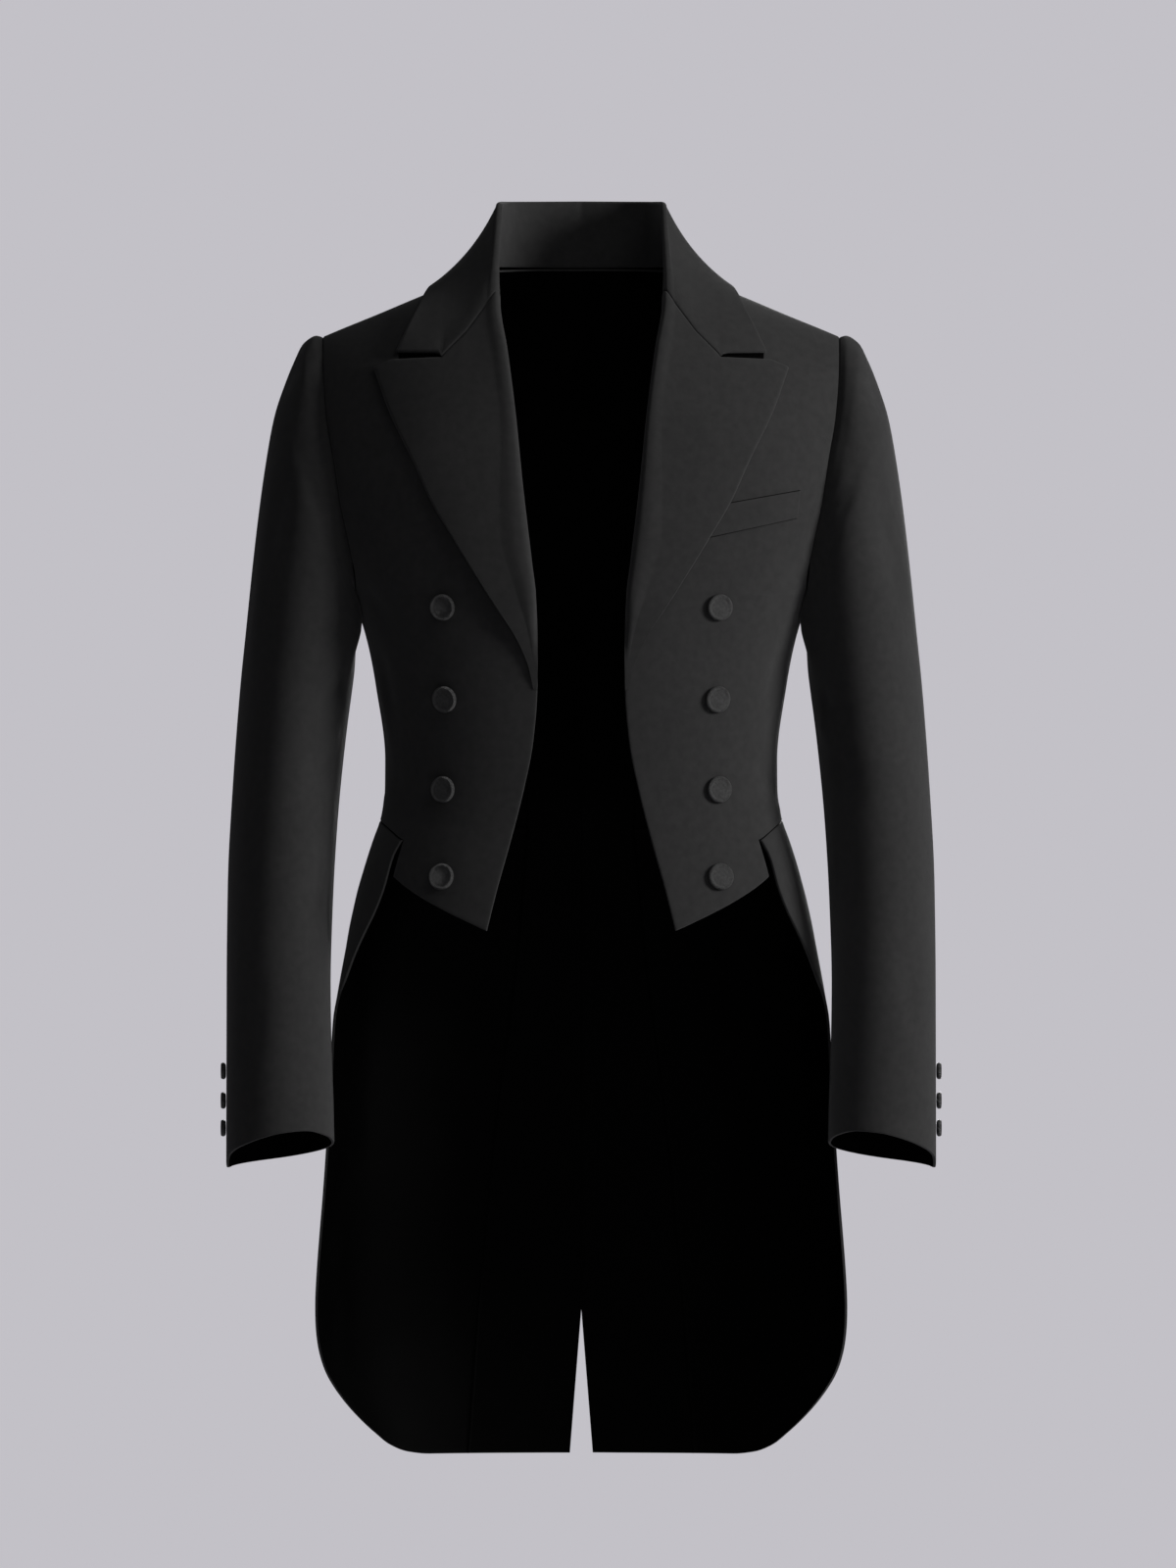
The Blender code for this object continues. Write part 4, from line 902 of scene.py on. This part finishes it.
def sleeve_ring():
    """The whole sleeve: places, outward directions and where the top sleeve ends."""
    top_start = np.concatenate([even(3 * FINE, ARM_LIFT - 360.0, 0.0)[:-1], ARM_FRONT])
    under_start = np.concatenate([ARM_UNDER, even(4 * FINE, 253.0, ARM_LIFT)[1:]])
    top_end = even(len(top_start) - 1, HINDARM_SEAM, FOREARM_SEAM)
    under_end = even(len(under_start) - 1, FOREARM_SEAM, HINDARM_SEAM + 360.0)
    starts = np.concatenate([top_start, under_start[1:]])
    ends = np.concatenate([top_end, under_end[1:]])
    seam = armhole_spots(starts)
    armhole = form(seam[:, 0], seam[:, 1])
    row = even(15 * FINE, 0.0, 15.0)[:, None]
    points = sleeve_points(starts[None], ends[None], row)
    offset = armhole - points[0]
    points = points + offset[None] * (1.0 - smooth(row / 6.0))[..., None]
    points = gathered(points, starts[None] + 0.0 * row, row + 0.0 * starts[None])
    outer_x, inner_x, middle_y, depth = [value * MM for value in SLEEVE_FOOT]
    turn = np.radians(ends)
    place_x = 0.5 * (outer_x + inner_x) + 0.5 * (outer_x - inner_x) * np.cos(turn)
    foot = np.stack([place_x, middle_y - depth * np.sin(turn), hem_run.at(ends)[0]], axis=-1)
    down = even(FINE)[1:, None, None]
    points = np.concatenate([points, points[-1:] + (foot - points[-1:]) * down])
    ring = points[:, :-1]
    along = np.roll(ring, -1, axis=1) - np.roll(ring, 1, axis=1)
    normals = unit(np.cross(along, np.gradient(ring, axis=0)))
    normals = np.concatenate([normals, normals[:, :1]], axis=1)
    below = smooth((60.0 - np.abs(starts % 360.0 - 180.0)) / 40.0)[:, None]
    away = unit(points[FINE] - points[0])
    away = unit(away + (form_normal(seam[:, 0], seam[:, 1]) - away) * below)
    over = smooth((np.abs(starts % 360.0 - 180.0) - 25.0) / 35.0)[:, None]
    points[0] += away * (2.2 - 2.0 * over) * HALF_SEAM
    body = form_normal(seam[:, 0], seam[:, 1])
    for row in range(FINE):
        share = over * (1.0 - row / FINE)
        normals[row] = unit(normals[row] + (body - normals[row]) * share)
    return points, normals, len(top_start)


ARM_LIFT = 253.0 + 107.0 * 4.0 / 7.0


def sleeve_folds(side):
    """The folds of one sleeve, each side a little different."""
    found = []
    for place, row in enumerate(SLEEVE_FOLDS):
        shift = 5.0 * math.sin(1.9 * place + (0.4 if side == "left" else 2.6))
        slide = 0.25 * math.sin(2.7 * place + (1.1 if side == "left" else 3.9))
        start = sleeve_points(row[0] + shift, row[0] + shift, row[1] + slide)
        end = sleeve_points(row[2] + shift, row[2] + shift, row[3] + slide)
        found.append((start, end, row[4] * MM, row[5] * MM * SLEEVE_FOLD_GAIN))
    return found


def make_sleeves(materials):
    """Top and under sleeves from the armhole to the shaped hem."""
    items = {}
    points, normals, turn = sleeve_ring()
    for side in SIDES:
        depths = fold_shape(points, sleeve_folds(side))
        depths = depths * smooth(np.arange(len(points)) / (3.0 * FINE))[:, None]
        shaped = points + normals * depths[..., None]
        for kind, cut in (("top_sleeve", slice(0, turn)), ("under_sleeve", slice(turn - 1, None))):
            net = Net(shaped[:, cut], normals[:, cut])
            net.pull(1, 0, 1)
            net.pull(1, -1, -1)
            net.borders(arm_dip, EDGE_DIP, SEAM_DIP, SEAM_DIP)
            items["%s_%s" % (kind, side)] = sided(kind, side, net, WALL, materials)
    return items


def polyline(rows, shares):
    """Points along a line of corners at shares of its length, mm to metres."""
    line = np.array(rows, dtype=float) * MM
    length = np.linalg.norm(np.diff(line, axis=0), axis=1)
    knots = np.concatenate([[0.0], np.cumsum(length)])
    knots = knots / knots[-1]
    return np.stack([np.interp(shares, knots, column) for column in line.T], axis=-1)


def lapel_points():
    """Points of the lapel's outer face, rows from its foot to the gorge."""
    rows = 16 * FINE
    far = curved(np.array(LAPEL_EDGE) * MM, rows)
    heights = even(rows, -0.3403, -0.0082)
    near = np.stack([front_edge_run.at(heights)[0], heights], axis=-1)
    near[-1] = np.array(GORGE[0]) * MM
    top = GORGE + LAPEL_TOP
    reach, rise = Run(range(6), np.array(ROLL).T).at(even(5 * FINE, 0.0, 5.0))
    steps = even(5 * FINE)
    flats = between(LAPEL_FLAT, FINE)[1:]
    ends = polyline(top, [0.0, 1.0])
    points = []
    for row in range(rows + 1):
        width = float(np.linalg.norm(far[row] - near[row]))
        full = smooth((width - 0.008) / 0.025)
        low = smooth((-heights[row] - 0.09) / 0.12)
        wide = (15.0 + 10.0 * low) * MM
        rolled = min(wide / width, 0.45)
        plain = rolled * steps
        roll_shares = plain + (reach / 15.0 * rolled - plain) * full
        flat_shares = rolled + (1.0 - rolled) * flats
        settle = 1.0 - smooth((flat_shares - rolled) * width / (0.035 + 0.010 * low))
        shares = np.concatenate([roll_shares, flat_shares])
        rises = np.where(rise > 0.0, rise * (1.0 + BELLY * low), rise)
        start_lift = (2.5 + (rises[-1] - 2.5) * full) * MM
        stand = smooth((-heights[row] - 0.10) / 0.10) * smooth((heights[row] + 0.325) / 0.06)
        edge_lift = LAID_LIFT + (EDGE_RAISE + STAND_OFF * stand) * full
        lifts = np.concatenate([
            (2.5 + (rises - 2.5) * full) * MM,
            edge_lift + (start_lift - edge_lift) * settle,
        ])
        upper = polyline(top, np.maximum(shares, 0.0))
        straight = ends[0] + (ends[1] - ends[0]) * np.maximum(shares, 0.0)[:, None]
        bend = (row / rows) ** 3
        place = near[row] + (far[row] - near[row]) * shares[:, None] + (upper - straight) * bend
        angle = angle_of(place[:, 0], place[:, 1], False)
        lifts = lifts * (0.35 + 0.65 * smooth((heights[row] - heights[0]) / 0.022))
        points.append(form(angle, place[:, 1]) + form_normal(angle, place[:, 1]) * lifts[:, None])
    return np.array(points)


def make_lapels(materials):
    """Peak lapels laid over the fronts, rolled at the front edge."""
    points = lapel_points()
    normals = free_normals(points)
    items = {}
    for side in SIDES:
        net = Net(points, normals)
        net.pull(0, -1, -1, 0.3 * HALF_SEAM)
        net.borders(LAID_DIP, LAID_DIP, None, LAPEL_DIP)
        items["lapel_" + side] = sided("lapel", side, net, LAID_WALL, materials)
    return items, points[-1], normals[-1]


def knotted(line, parts):
    """A smooth line through listed points, with even places between each pair."""
    line = np.asarray(line)
    padded = np.concatenate([2.0 * line[:1] - line[1:2], line, 2.0 * line[-1:] - line[-2:-1]])
    found = []
    for place in range(1, len(padded) - 2):
        before, start, end, after = padded[place - 1: place + 3]
        part = even(parts)[:-1, None]
        value = 2.0 * start + (end - before) * part
        value = value + (2.0 * before - 5.0 * start + 4.0 * end - after) * part ** 2
        value = value + (3.0 * start - before - 3.0 * end + after) * part ** 3
        found.append(0.5 * value)
    return np.concatenate(found + [line[-1:]])


def over_form(place_x, place_y):
    """Height of the worn form over places seen from above."""
    ridge = shoulder_run.at(np.abs(place_x))[0]
    height = ridge - 10.0 * MM
    for _ in range(10):
        half, front, back = body_run.at(height)
        across = np.minimum(np.abs(place_x) / half, 0.98)
        depth = np.where(place_y > 0.0, back, front) * (1.0 - across ** SQUARENESS) ** (1.0 / SQUARENESS)
        out = np.minimum(np.abs(place_y) / depth, 0.97)
        height = ridge - SHOULDER_ROUND * (1.0 - np.sqrt(1.0 - out * out))
    return height


def over_normal(place_x, place_y):
    """Outward directions of the worn form over places seen from above."""
    step = 0.5 * MM
    lean_x = over_form(place_x + step, place_y) - over_form(place_x - step, place_y)
    lean_y = over_form(place_x, place_y + step) - over_form(place_x, place_y - step)
    return unit(np.stack([-lean_x, -lean_y, 2.0 * step + 0.0 * lean_x], axis=-1))


def collar_edge_places():
    """A run of the places below the collar's outer edge, over the shoulder line."""
    shares = np.array(COLLAR_EDGE_SHARES)
    place_x, height = collar_edge_run.at(shares)
    behind = shares > 0.5
    place_y = form(angle_of(place_x, height, behind), height)[..., 1]
    return Run(shares, [place_x, np.where(shares == 0.5, 0.0, place_y)])


def collar_line(share):
    """Points across the collar at one place, stand to roll to outer edge."""
    roll = np.array(collar_roll_run.at(share))
    bearing = math.radians(float(bearing_run.at(share)[0]))
    out = np.array([math.cos(bearing), math.sin(bearing), 0.0])
    rise = np.array([0.0, 0.0, MM])
    place_x, place_y = collar_outline.at(share)
    edge = np.stack([place_x, place_y, over_form(place_x, place_y)])
    edge = edge + over_normal(place_x, place_y) * (LAID_LIFT + EDGE_RAISE)
    neck_x, neck_z = neckline_run.at(share)
    neck = form(angle_of(neck_x, neck_z, share > 0.5), neck_z)
    inward = unit(np.array([-neck[0], 0.005 - neck[1], 0.0]))
    stand = neck + inward * 2.0 * MM + rise * 0.8
    neck_side = roll - rise * 5.0
    line = [stand, 0.5 * (stand + neck_side), neck_side]
    line += [roll + out * reach * MM - rise * drop for reach, drop in COLLAR_TURN]
    start = roll + out * 6.3 * MM - rise * 4.6
    pull = start + (edge - start) * 0.365
    pull[2] = start[2] + 0.63 * (edge[2] - start[2])
    for step in COLLAR_FALL:
        line.append(start * (1.0 - step) ** 2 + pull * 2.0 * step * (1.0 - step) + edge * step * step)
    return knotted(line, FINE)


def clear_of_form(points, need):
    """Points eased off the worn form until they stand clear of it."""
    for _ in range(2):
        normal = over_normal(points[..., 0], points[..., 1])
        off = (points[..., 2] - over_form(points[..., 0], points[..., 1])) * normal[..., 2]
        short = 0.5 * (need - off + np.sqrt((need - off) ** 2 + MM ** 2))
        points = points + normal * short[..., None]
    return points


collar_outline = collar_edge_places()


def make_collar(seam_points, seam_normals, materials):
    """One collar round the neck: stand, roll and flared fall."""
    places = np.interp(even(10 * FINE, 0.0, 10.0), range(11), [0, 0.5] + list(range(1, 10))) * FINE
    at = np.arange(len(seam_points))
    foot = np.stack([np.interp(places, at, column) for column in seam_points.T], axis=-1)
    foot_normals = np.stack([np.interp(places, at, column) for column in seam_normals.T], axis=-1)
    tip = polyline([GORGE[-1]] + COLLAR_TIP, even(2 * FINE)[1:])
    angle = angle_of(tip[:, 0], tip[:, 1], False)
    tip = form(angle, tip[:, 1]) + form_normal(angle, tip[:, 1]) * (LAID_LIFT + EDGE_RAISE)
    foot = np.concatenate([foot, tip])
    start = collar_line(0.0)
    half = [foot]
    for share in between(COLLAR_SHARES, FINE)[1:]:
        ease = 1.0 - smooth(share / 0.34)
        half.append(collar_line(float(share)) + (foot - start) * ease)
    half = np.array(half)
    fall = half[1:, 6 * FINE:]
    half[1:, 6 * FINE:] = clear_of_form(fall, LAID_LIFT)
    other = half[::-1][1:].copy()
    other[..., 0] *= -1.0
    points = np.concatenate([half, other])
    normals = free_normals(points)
    count = len(foot_normals)
    normals[0, :count] = foot_normals
    normals[-1, :count] = foot_normals * np.array([-1.0, 1.0, 1.0])
    net = Net(points, normals)
    net.pull(0, 0, 1, 0.3 * HALF_SEAM)
    net.pull(0, -1, -1, 0.3 * HALF_SEAM)
    for index, step in ((0, 1), (-1, -1)):
        net.edge_lines(0, index, step, LAID_DIP)
        net.edge_lines(1, index, step, LAID_DIP)
    return {"collar": shell("cloth_collar", net, LAID_WALL, materials)}


def make_welt(materials):
    """Breast pocket welt on the wearer's left front."""
    corners = np.array(WELT)
    corners[[0, 3]] -= WELT_TUCK
    foot = polyline(corners[:2], even(7 * FINE))
    top = polyline([corners[3], corners[2]], even(7 * FINE))
    place = foot[None] + (top - foot)[None] * even(3 * FINE)[:, None, None]
    angle = angle_of(place[..., 0], place[..., 1], False)
    along = even(7 * FINE)[None] * np.ones((3 * FINE + 1, 1))
    up = even(3 * FINE)[:, None] * np.ones((1, 7 * FINE + 1))
    fade = smooth((along - 0.5) / 0.5)
    lift = (2.3 - 1.6 * fade - 0.9 * (1.0 - fade) * smooth((up - 0.3) / 0.7)) * MM
    net = form_net(np.stack([angle, place[..., 1]], axis=-1), lambda points: lift)
    net.edge_lines(0, 0, 1, 0.0)
    net.edge_lines(0, -1, -1, 0.0)
    for row, share in ((0, 1.0), (1, 0.35)):
        sunk = WELT_SUNK * share * (1.0 - 0.8 * fade[0])
        net.data[row, :, 0:3] -= net.data[row, :, 3:6] * sunk[:, None]
    net.edge_lines(1, 0, 1, 0.0)
    net.edge_lines(1, -1, -1, 0.0)
    last = net.data.shape[0] - 2
    # painted shade: the strips along the welt's foot and top take the black lining as painted shadow lines
    net.shaded = lambda row, column, place: row in (0, last)
    return {"breast_welt": shell("cloth_breast_welt", net, WELT_WALL, materials)}


def make_button(name, centre, normal, radius, materials):
    """A flat round button with a thin raised rim, seated on a panel."""
    rim = RIM_SHARE * radius
    outline = [(0.0, 0.0)]
    outline += [(radius - inset * MM, height * MM) for inset, height in BUTTON_SIDE]
    outline += [(radius - share * rim, height * MM) for share, height in BUTTON_RIM]
    outline += [(radius * 0.3, 2.95 * MM), (0.0, 3.0 * MM)]
    mesh = bmesh.new()
    corners = [mesh.verts.new((reach, 0.0, height)) for reach, height in outline]
    edges = [mesh.edges.new(pair) for pair in zip(corners, corners[1:])]
    bmesh.ops.spin(
        mesh,
        geom=corners + edges,
        axis=(0.0, 0.0, 1.0),
        cent=(0.0, 0.0, 0.0),
        angle=2.0 * math.pi,
        steps=64,
        use_merge=True,
    )
    bmesh.ops.remove_doubles(mesh, verts=mesh.verts[:], dist=0.00001)
    bmesh.ops.recalc_face_normals(mesh, faces=mesh.faces[:])
    face_map = mesh.loops.layers.uv.new("cloth")
    for face in mesh.faces:
        for loop in face.loops:
            loop[face_map].uv = (loop.vert.co.x, loop.vert.co.y)
    facing = normal.to_track_quat("Z", "Y").to_matrix().to_4x4()
    place = Matrix.Translation(centre + normal * SEAT_GAP) @ facing
    bmesh.ops.transform(mesh, matrix=place, verts=mesh.verts[:])
    return new_object(name, mesh, materials)


def make_buttons(materials):
    """Four buttons on each front and three at each cuff."""
    items = {}
    points, normals, _ = sleeve_ring()
    column = FINE
    heights = points[:, column, 2]
    for side, turn in (("left", 1.0), ("right", -1.0)):
        for count, (place_x, height) in enumerate(FRONT_BUTTONS, start=1):
            angle = angle_of(place_x * MM, height * MM, False)
            centre = Vector(form(angle, height * MM))
            normal = Vector(form_normal(angle, height * MM))
            centre.x *= turn
            normal.x *= turn
            name = "front_button_%s_%d" % (side, count)
            items[name] = make_button("cover_" + name, centre, normal, FRONT_BUTTON_RADIUS, materials)
        for count, height in enumerate(CUFF_BUTTONS, start=1):
            places = np.arange(len(heights))
            row = np.interp(-height * MM, -heights, places)
            centre = Vector([np.interp(row, places, points[:, column, axis]) for axis in range(3)])
            normal = Vector(normals[int(round(row)), column])
            centre.x *= turn
            normal.x *= turn
            name = "cuff_button_%s_%d" % (side, count)
            items[name] = make_button("cover_" + name, centre, normal, CUFF_BUTTON_RADIUS, materials)
    return items


class Value:
    """A shader socket that can be worked with in plain sums."""

    def __init__(self, paint, socket):
        self.paint = paint
        self.socket = socket

    def __add__(self, other):
        return self.paint.maths("ADD", self, other)

    def __radd__(self, other):
        return self.paint.maths("ADD", other, self)

    def __sub__(self, other):
        return self.paint.maths("SUBTRACT", self, other)

    def __rsub__(self, other):
        return self.paint.maths("SUBTRACT", other, self)

    def __mul__(self, other):
        return self.paint.maths("MULTIPLY", self, other)

    def __rmul__(self, other):
        return self.paint.maths("MULTIPLY", other, self)


# sockets of a Mix node that mixes colours, and the object output of a coordinate node
MIX_FIRST = 6
MIX_SECOND = 7
MIX_RESULT = 2
OBJECT_PLACE = 3


class Paint:
    """Builds the nodes of one material."""

    def __init__(self, name):
        self.material = bpy.data.materials.new(name)
        self.material.use_nodes = True
        self.tree = self.material.node_tree
        self.shader = self.tree.nodes["Principled BSDF"]

    def node(self, kind, settings=None, output=0, **inputs):
        """A node with its settings and inputs, giving one of its outputs."""
        node = self.tree.nodes.new(kind)
        for key, value in (settings or {}).items():
            setattr(node, key, value)
        for key, value in inputs.items():
            self.give(node.inputs[key.replace("_", " ")], value)
        return Value(self, node.outputs[output])

    def give(self, socket, value):
        """Set or link one input."""
        if isinstance(value, Value):
            self.tree.links.new(value.socket, socket)
        else:
            socket.default_value = value

    def maths(self, kind, first, second=0.0):
        """One sum of two values."""
        node = self.tree.nodes.new("ShaderNodeMath")
        node.operation = kind
        self.give(node.inputs[0], first)
        self.give(node.inputs[1], second)
        return Value(self, node.outputs[0])

    def mix(self, share, first, second):
        """A colour between two colours."""
        node = self.tree.nodes.new("ShaderNodeMix")
        node.data_type = "RGBA"
        self.give(node.inputs["Factor"], share)
        self.give(node.inputs[MIX_FIRST], first)
        self.give(node.inputs[MIX_SECOND], second)
        return Value(self, node.outputs[MIX_RESULT])

    def noise(self, place, scale, detail, roughness):
        """Soft noise over a place."""
        return self.node(
            "ShaderNodeTexNoise",
            {"noise_dimensions": "3D"},
            Vector=place,
            Scale=scale,
            Detail=detail,
            Roughness=roughness,
        )

    def ranged(self, value, low, high, start=0.0, end=1.0):
        """A value moved from one range to another."""
        node = self.tree.nodes.new("ShaderNodeMapRange")
        self.give(node.inputs[0], value)
        for place, number in enumerate((low, high, start, end), start=1):
            node.inputs[place].default_value = number
        return Value(self, node.outputs[0])

    def shade(self, **inputs):
        """Give the surface its looks."""
        for key, value in inputs.items():
            self.give(self.shader.inputs[key.replace("_", " ")], value)


def grey(level, tint=(1.0, 1.0, 1.0)):
    """A colour of one brightness."""
    return (level * tint[0], level * tint[1], level * tint[2], 1.0)


def cloth_waves(paint, pitch, slope):
    """Fine slanted ribs of a twill and the threads that cross them."""
    cloth = paint.node("ShaderNodeUVMap", {"uv_map": "cloth"})
    parts = paint.tree.nodes.new("ShaderNodeSeparateXYZ")
    paint.give(parts.inputs[0], cloth)
    across = Value(paint, parts.outputs[0])
    up = Value(paint, parts.outputs[1])
    turn = 2.0 * math.pi / pitch
    ribs = paint.maths("SINE", (across * slope + up) * turn)
    threads = paint.maths("SINE", (across - up * 0.4) * turn * 1.9)
    return cloth, ribs, threads


def make_wool():
    """Matte near-black wool with a fine twill and a short nap."""
    paint = Paint("fine_wool")
    _, ribs, threads = cloth_waves(paint, 0.9 * MM, 1.1)
    place = paint.node("ShaderNodeTexCoord", output=OBJECT_PLACE)
    nap = paint.noise(place, 900.0, 3.0, 0.65)
    soft = paint.noise(place, 14.0, 3.0, 0.5)
    mottle = paint.noise(place, 150.0, 2.0, 0.5)
    tone = paint.ranged(nap, 0.3, 0.7, 0.0, 0.35) + paint.ranged(soft, 0.3, 0.7, 0.0, 0.2)
    tone = tone + paint.ranged(mottle, 0.3, 0.7, 0.0, 0.45)
    colour = paint.mix(tone, grey(0.0115, (1.0, 1.0, 1.02)), grey(0.0225, (1.0, 0.99, 0.99)))
    height = ribs * 0.5 + threads * 0.25 + nap * 1.6 + mottle * 3.0
    bump = paint.node("ShaderNodeBump", Strength=0.35, Distance=0.00012, Height=height)
    paint.shade(
        Base_Color=colour,
        Roughness=paint.ranged(nap, 0.3, 0.7, 0.82, 0.94),
        Normal=bump,
        Specular_IOR_Level=0.22,
        Sheen_Weight=0.18,
        Sheen_Roughness=0.55,
        Sheen_Tint=grey(0.55),
    )
    return paint.material


def make_lining_and_painted_shade():
    """Smooth black satin lining, kept darker than real black satin as painted shade inside the coat; also
    laid on outer strips of cloth as painted shade.
    """
    paint = Paint("satin_lining_and_painted_shade")
    _, ribs, threads = cloth_waves(paint, 0.5 * MM, 0.6)
    place = paint.node("ShaderNodeTexCoord", output=OBJECT_PLACE)
    soft = paint.noise(place, 22.0, 2.0, 0.5)
    height = ribs * 0.4 + threads * 0.2 + soft * 9.0
    bump = paint.node("ShaderNodeBump", Strength=0.3, Distance=0.0002, Height=height)
    paint.shade(
        # painted shade: both lining tones sit far below real black cloth so the coat's inside stays dark
        Base_Color=paint.mix(soft, grey(0.0004), grey(0.0009)),
        Roughness=paint.ranged(soft, 0.3, 0.7, 0.40, 0.50),
        Normal=bump,
        Specular_IOR_Level=0.02,
    )
    return paint.material


def make_button_cover():
    """Dark ribbed silk over a button, its tone varying at random and with the ribs."""
    paint = Paint("button_cover")
    cloth, ribs, threads = cloth_waves(paint, 1.3 * MM, 0.9)
    nap = paint.noise(cloth, 420.0, 3.0, 0.6)
    tone = paint.ranged(nap, 0.35, 0.65, 0.0, 0.7) + paint.ranged(ribs, -1.0, 1.0, 0.0, 0.3)
    height = ribs + threads * 0.8 + nap * 5.0
    bump = paint.node("ShaderNodeBump", Strength=0.8, Distance=0.0004, Height=height)
    paint.shade(
        Base_Color=paint.mix(tone, grey(0.017), grey(0.080)),
        Roughness=paint.ranged(nap, 0.3, 0.7, 0.38, 0.58),
        Normal=bump,
        Specular_IOR_Level=0.6,
    )
    return paint.material


def declare(items):
    """Hide the part of model.glb that every piece stands for."""
    for node, item in items.items():
        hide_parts(node)
        if "button" in node:
            continue
        kind = node.replace("_left", "").replace("_right", "")
        rests_on = []
        if kind in ("lapel", "breast_welt"):
            side = "left" if kind == "breast_welt" else node.split("_")[-1]
            rests_on = [items["front_" + side]]


def make_studio():
    """Pale floor and plain backdrop all round."""
    paint = Paint("pale_floor")
    paint.shade(Base_Color=FLOOR_TONE, Roughness=0.9, Specular_IOR_Level=0.1)
    mesh = bmesh.new()
    bmesh.ops.create_circle(mesh, cap_ends=True, segments=96, radius=FLOOR_RADIUS)
    bmesh.ops.translate(mesh, vec=(0.0, 0.0, FLOOR), verts=mesh.verts[:])
    floor = place_mesh("floor", mesh, [paint.material])
    paint = Paint("backdrop_paper")
    paint.shade(Base_Color=(0.0, 0.0, 0.0, 1.0), Specular_IOR_Level=0.0, Roughness=1.0)
    paint.shade(Emission_Color=BACKDROP_TONE, Emission_Strength=1.0)
    mesh = bmesh.new()
    bmesh.ops.create_uvsphere(mesh, u_segments=64, v_segments=32, radius=BACKDROP_RADIUS)
    bmesh.ops.reverse_faces(mesh, faces=mesh.faces[:])
    backdrop = place_mesh("backdrop", mesh, [paint.material])
    backdrop.visible_diffuse = False
    backdrop.visible_glossy = False
    backdrop.visible_shadow = False
    backdrop.visible_transmission = False
    backdrop.visible_volume_scatter = False


def area_light(name, place, aim, size, power, colour):
    """A large soft light aimed at a point."""
    data = bpy.data.lights.new(name, "AREA")
    data.shape = "DISK"
    data.size = size
    data.energy = power
    data.color = colour
    item = bpy.data.objects.new(name, data)
    item.location = place
    item.rotation_euler = (Vector(aim) - Vector(place)).to_track_quat("-Z", "Y").to_euler()
    bpy.context.scene.collection.objects.link(item)


def make_lights():
    """Soft key from the viewer's right, weak fills and a light from behind."""
    for name, place, size, power, colour in LIGHTS:
        area_light(name, place, LIGHT_AIM, size, power, colour)
    world = bpy.data.worlds.new("studio_air")
    world.use_nodes = True
    back = world.node_tree.nodes["Background"]
    back.inputs["Color"].default_value = AIR_TONE
    back.inputs["Strength"].default_value = AIR_STRENGTH
    bpy.context.scene.world = world


def make_camera():
    """The camera at the photo's angle, far enough off to look flat."""
    data = bpy.data.cameras.new("camera")
    data.sensor_width = SENSOR
    data.lens = SENSOR * CAMERA_DISTANCE / FRAME_HEIGHT
    data.clip_end = 200.0
    item = bpy.data.objects.new("camera", data)
    item.location = (CAMERA_X, -CAMERA_DISTANCE, CAMERA_Z)
    item.rotation_euler = (math.radians(90.0), 0.0, 0.0)
    bpy.context.scene.collection.objects.link(item)
    bpy.context.scene.camera = item


def make_coat():
    """Every piece of the coat."""
    wool = make_wool()
    cloth = [wool, make_lining_and_painted_shade()]
    self_cloth = [wool, wool]
    items = {}
    items.update(make_fronts(cloth))
    items.update(make_side_bodies(cloth))
    items.update(make_backs(cloth))
    items.update(make_skirts(cloth))
    items.update(make_sleeves(cloth))
    lapels, seam_points, seam_normals = make_lapels(self_cloth)
    items.update(lapels)
    items.update(make_collar(seam_points, seam_normals, self_cloth))
    items.update(make_welt(cloth))
    items.update(make_buttons([make_button_cover()]))
    declare(items)


make_coat()
make_studio()
make_lights()
make_camera()
bpy.context.scene.view_settings.view_transform = "Standard"
